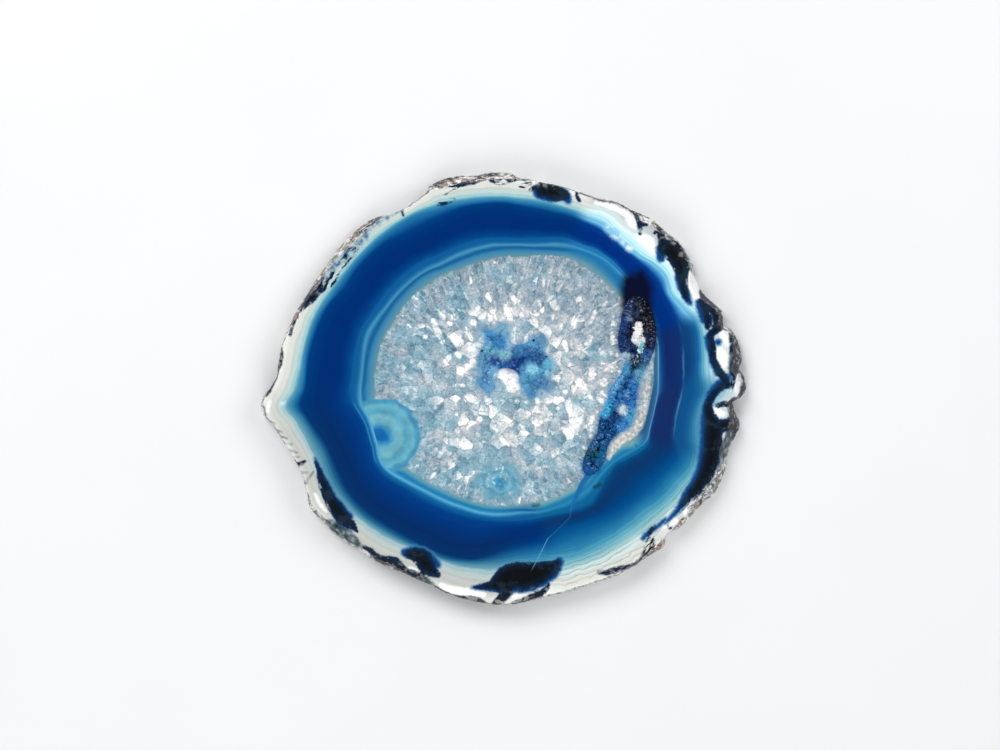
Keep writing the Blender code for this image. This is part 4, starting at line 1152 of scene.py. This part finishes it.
    def mix(self, share, one, other):
        """One colour giving way to another; tuples are colours as seen."""
        made = self.node("ShaderNodeMix", share, data_type="RGBA")
        for socket, colour in zip(made.inputs[6:8], (one, other)):
            seen = isinstance(colour, tuple)
            self.put(socket, (*linear(colour), 1.0) if seen else colour)
        return made.outputs[2]

    def blend(self, share, one, other):
        """One number giving way to another."""
        made = self.node("ShaderNodeMix", share)
        for socket, value in zip(made.inputs[2:4], (one, other)):
            self.put(socket, value)
        return made.outputs[0]

    def bump(self, height, distance, strength):
        made = self.node("ShaderNodeBump")
        values = {"Height": height, "Distance": distance * MM, "Strength": strength}
        return self.outputs(made, **values)["Normal"]


def polar_place(finish, offset, width, length):
    """Places whose cells are about width across and length along the radius."""
    x, y, _ = finish.parts(offset)
    turn = finish.math("ARCTAN2", y, x)
    circle = [
        finish.times(finish.math(kind, turn), CELL_RADIUS / width) for kind in ("COSINE", "SINE")
    ]
    reach = finish.times(finish.sideways(offset), 1 / length)
    return finish.node("ShaderNodeCombineXYZ", *circle, reach).outputs[0]


def quartz_mosaic(finish):
    """The cut quartz: fine streaks at its edge, larger clear and white grains further in."""
    offset = finish.from_centre()
    radius = finish.sideways(offset)
    stray = finish.vector("ADD", finish.scaled(finish.stray(1.5), 1.1),
                          finish.scaled(finish.stray(0.35), 0.22))
    wandering = finish.vector("ADD", finish.place, stray)
    strayed = finish.vector("ADD", offset, stray)

    def grains(where, scale, contrast, white, joint):
        """Each grain's own tone with painted facet shade over it, some white, and its joints."""
        found = finish.cells(where, scale, "SMOOTH_F1")
        own = finish.parts(found["Color"], "ShaderNodeSeparateColor")
        from_middle = finish.scaled(finish.vector("SUBTRACT", where, found["Position"]), scale)
        # Painted facet shade: each grain is lighter towards one side and darker towards the other,
        # as if its face were tilted to the light; the same slope also shapes the white grains'
        # edges
        painted_facet_tilt = finish.vector("SUBTRACT", found["Color"], (0.5, 0.5, 0.5))
        slope = finish.vector("DOT_PRODUCT", painted_facet_tilt, from_middle)
        tone = finish.fit(finish.minus(own[0], 0.5), contrast, finish.times(slope, 0.6))
        picked = finish.step(own[1], white + 0.04, white)
        jump = finish.fit(slope, 0.5, finish.fit(own[2], 0.5, -0.25))
        here = finish.step(finish.plus(finish.attribute("white"), jump), -0.14, 0.1)
        rounded = finish.fit(found["Distance"], -0.3, 0.5)
        tone = finish.fit(finish.most(picked, here), rounded, tone)
        edge = finish.cells(where, scale, "DISTANCE_TO_EDGE")["Distance"]
        return tone, finish.step(edge, joint, 0.0)

    layers = (
        grains(wandering, 1 / 2.1, 0.46, 0.12, 0.07),
        grains(polar_place(finish, strayed, 1.1, 1.8), 1.0, 0.38, 0.05, 0.06),
        grains(polar_place(finish, strayed, 0.55, 1.5), 1.0, 0.26, 0.02, 0.04),
    )
    depth = finish.plus(radius, finish.sway(4.0, 2, 9.0))
    tone, joint = layers[0]
    for (other_tone, other_joint), low, high in zip(layers[1:], (15.5, 19.5), (16.5, 21.0)):
        share = finish.step(depth, low, high)
        tone, joint = finish.blend(share, tone, other_tone), finish.blend(share, joint, other_joint)
    small, _ = grains(wandering, 1 / 0.75, 0.5, 0.03, 0.05)
    tone = finish.fit(small, 0.26, tone)
    for size, detail in ((0.42, 3), (3.4, 2)):
        tone = finish.fit(finish.minus(finish.noise(size, detail), 0.5), 0.55, tone)

    # Thin creases, some dark and some bright, wander through the grains
    for size, strength in ((1.6, -0.26), (1.1, 0.2)):
        tone = finish.fit(finish.near(finish.noise(size, 3), 0.5, 0.022), strength, tone)
    level = finish.fit(finish.step(radius, 22.0, 8.0), 0.26, 0.4)
    tone = finish.math("ADD", tone, level, clamp=True)
    blue = finish.ramp(tone, [
        (0, (82, 126, 150)), (0.2, (112, 154, 174)), (0.42, (140, 176, 192)),
        (0.62, (172, 199, 209)), (0.82, (214, 226, 231)), (1, (252, 254, 254)),
    ])
    pale = finish.ramp(tone, [
        (0, (96, 124, 142)), (0.2, (128, 153, 168)), (0.42, (158, 175, 187)),
        (0.62, (190, 198, 204)), (0.82, (227, 226, 227)), (1, (255, 253, 250)),
    ])
    x, y, _ = finish.parts(strayed)
    north = finish.fit(x, 0.003, finish.fit(y, 0.0035, finish.noise(4.0, 3)))
    colour = finish.mix(finish.step(north, 0.34, 0.64), blue, pale)
    line = finish.times(joint, finish.patches(1.6, 2, 0.42, 0.6))
    clear = finish.fit(finish.step(radius, 20.0, 12.0), 0.4, 0.3)
    return finish.mix(finish.times(line, clear), colour, (92, 122, 142))


def eye(finish, colour, band, centre, reach, cut, rings):
    """A round eye of rings laid over the colour; a cut eye stops at the light line."""
    offset = finish.vector("SUBTRACT", finish.place, (*centre, 0.0))
    offset = finish.vector("MULTIPLY", offset, (1 / reach[0], 1 / reach[1], 0.0))
    wobble = finish.sway(2.2, 3, 0.24 if cut else 0.5)
    away = finish.plus(finish.vector("LENGTH", offset), wobble)
    rings = finish.scaled(finish.ramp(away, rings), finish.fit(finish.noise(2.0, 4), 0.8, 0.56))
    if cut:
        share = finish.times(finish.step(away, 1.03, 0.93), finish.step(band, 5.15, 5.35))
    else:
        share = finish.times(finish.step(away, 1.12, 0.75), finish.patches(0.6, 3, 0.26, 0.54))
    return finish.mix(share, colour, rings)


def side_bands(finish, band):
    """The bands' colours, which differ from one side of the slice to another."""
    colour = finish.ramp(band, LEFT_BANDS)
    for name, stops in (
        ("glow", GLOW_BANDS), ("upper", UPPER_BANDS), ("corner", CORNER_BANDS),
        ("right", RIGHT_BANDS), ("lower", LOWER_BANDS),
    ):
        colour = finish.mix(finish.attribute(name), colour, finish.ramp(band, stops))
    return colour


def banded_colour(finish):
    """The face's colour at any point: the bands, the quartz, the eyes and the dyed marks."""
    band = finish.plus(finish.attribute("band"), finish.sway(5.0, 3, 0.2))
    band = finish.plus(band, finish.sway(1.4, 3, 0.08))
    colour = side_bands(finish, band)

    # A thin light line edges the deep blue on the right, and a fainter one crosses the left
    side = finish.fit(finish.attribute("corner"), 0.4, finish.attribute("right"))
    line = finish.times(finish.near(band, 2.97, 0.09), side)
    fade = finish.times(finish.patches(9.0, 1, 0.36, 0.6), finish.step(finish.y, -11.0, -6.0))
    colour = finish.mix(finish.times(line, fade), colour, (88, 148, 196))
    line = finish.times(finish.near(band, 4.35, 0.16), finish.attribute("double"))
    colour = finish.mix(finish.times(line, 0.6), colour, (62, 142, 190))

    # Thin brownish threads wander along the cream at the lower right
    wavy = finish.plus(band, finish.sway(2.4, 2, 0.3))
    for at, strength in THREADS:
        thread = finish.times(finish.near(wavy, at, 0.05), strength)
        thread = finish.times(thread, finish.patches(5.0, 2, 0.3, 0.55))
        thread = finish.times(thread, finish.attribute("lower"))
        colour = finish.mix(thread, colour, finish.scaled(colour, 0.45))

    # Fine growth lines run with the bands, strongest outside the deep blue
    outside = finish.step(band, 2.8, 1.6)
    side = finish.most(finish.attribute("lower"), finish.attribute("corner"))
    broad = finish.fit(outside, 0.34, 0.12)
    fine = finish.times(finish.times(outside, finish.fit(side, 0.6, 0.7)), 0.42)
    lines = 1.0
    for count, detail, contrast in ((8.0, 3.0, broad), (26.0, 2.0, fine)):
        stripes = finish.minus(finish.stripes(band, count, detail), 0.5)
        lines = finish.fit(stripes, contrast, lines)
    colour = finish.scaled(colour, lines)

    edge = finish.plus(band, finish.sway(0.9, 3, 0.6))
    rim = finish.times(finish.step(edge, 6.7, 6.92), 0.5)
    colour = finish.mix(rim, colour, (98, 136, 142))
    colour = finish.mix(finish.step(edge, 6.86, 7.1), colour, quartz_mosaic(finish))
    for values in EYES:
        colour = eye(finish, colour, band, *values)
    return marked(finish, colour)


def marked(finish, colour):
    """The clear, blue and dark marks, the smear, the strip and the crack over the colour."""
    fine = finish.minus(finish.noise(0.4, 3), 0.5)
    broad = finish.minus(finish.noise(1.4, 3), 0.5)

    def depth_in(name, raggedness):
        edge = finish.fit(fine, raggedness * 0.6, finish.attribute(name))
        return finish.fit(broad, raggedness, edge)

    def laid_over(colour, name, low, high, raggedness, strength, paint):
        share = finish.times(finish.step(depth_in(name, raggedness), low, high), strength)
        return finish.mix(share, colour, paint)

    dye = finish.attribute("dye", "Color")
    strip = finish.ramp(finish.noise(0.7, 4), [
        (0.34, (150, 160, 166)), (0.48, (196, 194, 190)), (0.62, (230, 226, 220)),
    ])
    cloud = finish.mix(finish.patches(1.6, 2, 0.4, 0.6), (140, 204, 236), (224, 242, 249))
    grey = finish.ramp(finish.noise(1.2, 3), [
        (0.32, (38, 50, 60)), (0.48, (78, 94, 102)), (0.66, (150, 162, 166)),
    ])
    steel = finish.mix(finish.patches(1.2, 3, 0.4, 0.62), (170, 194, 200), (78, 118, 146))
    blue = finish.ramp(depth_in("blue", 0.6), [
        (-0.5, (110, 174, 200)), (-0.15, (52, 118, 170)), (0.3, (20, 74, 134)), (0.9, (16, 48, 98)),
    ])
    for values in (
        ("joint", -0.1, 0.05, 0.1, 0.7, (70, 100, 118)),
        ("vug", -0.7, 0.2, 1.3, 0.85, dye),
        ("pocket", -1.6, 0.5, 2.2, 0.85, dye),
        ("strip", -0.3, 0.35, 0.8, 1.0, strip),
        ("cloud", -0.7, 0.4, 0.6, 0.85, cloud),
        ("clear", -0.3, 0.3, 0.5, 1.0, (253, 254, 254)),
        ("grey", -0.35, 0.3, 0.7, 1.0, grey),
        ("steel", -0.5, 0.35, 0.9, 1.0, steel),
        ("blue", -0.55, 0.2, 0.6, 1.0, blue),
        ("smear", -1.5, 0.8, 0.7, 1.0, (12, 17, 44)),
    ):
        colour = laid_over(colour, *values)
    share, ink = dark_ink(finish, finish.plus(depth_in("dark", 0.55), finish.sway(0.28, 3, 0.3)))
    colour = finish.mix(share, colour, ink)
    colour = laid_over(colour, "spot", -0.3, 0.3, 0.5, 1.0, (24, 70, 90))
    colour = laid_over(colour, "blue_vein", -0.35, 0.1, 0.1, 1.0, (30, 106, 168))
    crack = finish.near(finish.x, finish.curve(finish.y, CRACK), 0.17, 0.03)
    for low, high in ((CRACK[0][0], CRACK[0][0] + 2), (CRACK[-1][0], CRACK[-1][0] - 1)):
        crack = finish.times(crack, finish.step(finish.y, low, high))
    clear = finish.fit(finish.step(finish.y, -27.2, -28.6), 0.4, 0.12)
    return finish.mix(finish.times(crack, clear), colour, (112, 178, 210))


def dark_ink(finish, deep):
    """How strong the dark marks are, broken up where they are thin, and their colour."""
    ink = finish.ramp(deep, [
        (-0.35, (40, 96, 148)), (-0.15, (20, 58, 108)), (0.1, (17, 42, 78)), (0.4, (18, 34, 56)),
        (0.8, (18, 28, 39)), (1.5, (17, 21, 24)),
    ])
    charcoal = finish.times(finish.patches(2.0, 2, 0.48, 0.66), 0.5)
    ink = finish.mix(charcoal, ink, (40, 58, 72))
    outer = finish.step(finish.attribute("band"), 0.5, 0.1)
    ink = finish.mix(finish.times(outer, 0.75), ink, (38, 42, 47))
    rubbed = finish.times(finish.patches(1.1, 4, 0.54, 0.64), 0.7)
    ink = finish.mix(finish.times(outer, rubbed), ink, (168, 170, 168))
    solid = finish.most(finish.step(deep, 0.1, 0.4), finish.patches(1.2, 3, 0.3, 0.44))
    share = finish.times(finish.step(deep, -0.35, 0.05), finish.fit(solid, 0.6, 0.4))
    stray = finish.scaled(finish.noise(1.5, 2, output="Color"), 1.2)
    streaks = polar_place(finish, finish.vector("ADD", finish.from_centre(), stray), 1.6, 0.5)
    flecks = finish.most(finish.step(finish.noise(1.0, 3, streaks), 0.42, 0.5),
                         finish.step(deep, 0.6, 1.0))
    return finish.times(share, finish.blend(finish.attribute("brown"), 1.0, flecks)), ink


def polished_face():
    finish = Finish("polished_agate")
    finish.set(
        Base_Color=banded_colour(finish),
        Roughness=finish.fit(finish.noise(2.0, 3), 0.06, 0.05),
        IOR=QUARTZ_IOR,
        Normal=finish.bump(finish.noise(3.0, 3), 0.02, 0.5),
    )
    return finish.material


def rough_rind():
    """A chalky crust over the bands, cracked and flecked with brown, thinner towards the face."""
    finish = Finish("rough_rind")
    bands = side_bands(finish, finish.attribute("band"))
    mottle = finish.fit(finish.attribute("dim"), -0.04, finish.noise(0.9, 5))
    crust = finish.ramp(finish.plus(mottle, finish.sway(3.2, 2, 0.4)), [
        (0.28, (38, 40, 44)), (0.38, (96, 98, 100)), (0.47, (176, 177, 175)),
        (0.54, (232, 232, 229)), (0.66, (250, 250, 249)),
    ])
    brown = finish.times(finish.patches(1.2, 4, 0.5, 0.58), finish.attribute("brown"))
    crust = finish.mix(finish.times(brown, 0.9), crust, (148, 92, 34))
    level = finish.plus(finish.z, finish.sway(1.5, 3, 1.6))
    share = finish.fit(finish.step(level, 4.9, 3.9), 0.6, 0.25)
    colour = finish.mix(share, bands, crust)
    under = finish.times(finish.step(level, 2.6, 1.6), 0.35)
    colour = finish.mix(under, colour, (104, 100, 96))
    wandering = finish.vector("ADD", finish.place, finish.stray(1.0))
    edge = finish.cells(wandering, 1 / 2.0, "DISTANCE_TO_EDGE")["Distance"]
    cracks = finish.times(finish.step(edge, 0.07, 0.01), finish.patches(2.4, 2, 0.4, 0.55))
    colour = finish.mix(finish.times(cracks, 0.85), colour, (36, 38, 42))
    finish.set(
        Base_Color=marked(finish, colour),
        Roughness=finish.fit(finish.noise(0.8, 3), 0.3, 0.35),
        IOR=QUARTZ_IOR,
        Normal=finish.bump(finish.noise(0.35, 4), 0.12, 0.7),
    )
    return finish.material


def crystal_finish(name, roughness, brightness=1.0):
    finish = Finish(name)
    veil = finish.fit(finish.noise(0.5, 3), 0.4 * brightness, 0.84 * brightness)
    finish.set(
        Base_Color=finish.scaled(finish.attribute("dye", "Color"), veil),
        Roughness=roughness, IOR=QUARTZ_IOR, Specular_IOR_Level=0.3,
    )
    return finish.material


def studio():
    """A pale floor, soft lights from the sides, and a sky that is dark straight overhead."""
    scene = bpy.context.scene
    scene.view_settings.view_transform = "Standard"
    bpy.ops.mesh.primitive_plane_add(size=4.0, location=(0, 0, 0))
    floor = bpy.context.object
    floor.name = "floor"
    pale = Finish("pale_floor")
    grain = pale.mix(pale.noise(40.0, 2), (238, 239, 240), (243, 244, 245))
    pale.set(Base_Color=grain, Roughness=0.9)
    floor.data.materials.append(pale.material)

    world = bpy.data.worlds.new("studio")
    world.use_nodes = True
    scene.world = world
    nodes, links = world.node_tree.nodes, world.node_tree.links
    split = nodes.new("ShaderNodeSeparateXYZ")
    links.new(nodes.new("ShaderNodeTexCoord").outputs["Generated"], split.inputs[0])
    sky = nodes.new("ShaderNodeValToRGB")
    sky.color_ramp.elements[0].position = SKY_BRIGHT_UNTIL
    sky.color_ramp.elements[0].color = (1, 1, 1, 1)
    sky.color_ramp.elements[1].position = SKY_DARK_FROM
    sky.color_ramp.elements[1].color = (0.01, 0.01, 0.01, 1)
    links.new(split.outputs[2], sky.inputs[0])
    links.new(sky.outputs[0], nodes["Background"].inputs["Color"])
    nodes["Background"].inputs["Strength"].default_value = SKY_STRENGTH

    for name, azimuth, elevation, size, power in LIGHTS:
        turn, rise = math.radians(azimuth), math.radians(elevation)
        lamp = bpy.data.lights.new(name, "AREA")
        lamp.shape = "DISK"
        lamp.size = size
        lamp.energy = power
        way = Vector((math.cos(turn) * math.cos(rise), math.sin(turn) * math.cos(rise),
                      math.sin(rise)))
        holder = bpy.data.objects.new(name, lamp)
        holder.location = way * LIGHT_DISTANCE
        holder.rotation_euler = way.to_track_quat("Z", "Y").to_euler()
        scene.collection.objects.link(holder)


def overhead_camera():
    """Looks straight down, so that the slice fills the photograph's share of the frame."""
    data = bpy.data.cameras.new("camera")
    data.sensor_width = 36.0
    data.lens = data.sensor_width * CAMERA_HEIGHT / FRAME_WIDTH
    camera = bpy.data.objects.new("camera", data)
    camera.location = Vector((*FRAME_CENTRE, THICKNESS + CAMERA_HEIGHT)) * MM
    bpy.context.scene.collection.objects.link(camera)
    bpy.context.scene.camera = camera


def main():
    studio()
    overhead_camera()
    stone = agate_stone()
    # The hollows' own stone gets 1.1 times its dye's brightness: painted light that lifts the shade
    # between the crystals
    for finish in (polished_face(), rough_rind(), crystal_finish("hollow_stone", 0.3, 1.1)):
        stone.data.materials.append(finish)
    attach(stone, "root")
    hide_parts("agate_slice")
    for name, hollow, node, slot in (
        ("vug_quartz", VUG, "vug_crystals", "dyed_quartz"),
        ("pocket_quartz", POCKET, "pocket_crystals", "pale_quartz"),
    ):
        crust = quartz_points(name, hollow)
        crust.data.materials.append(crystal_finish(slot, 0.2))
        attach(crust, "root")
        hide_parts(node)


main()
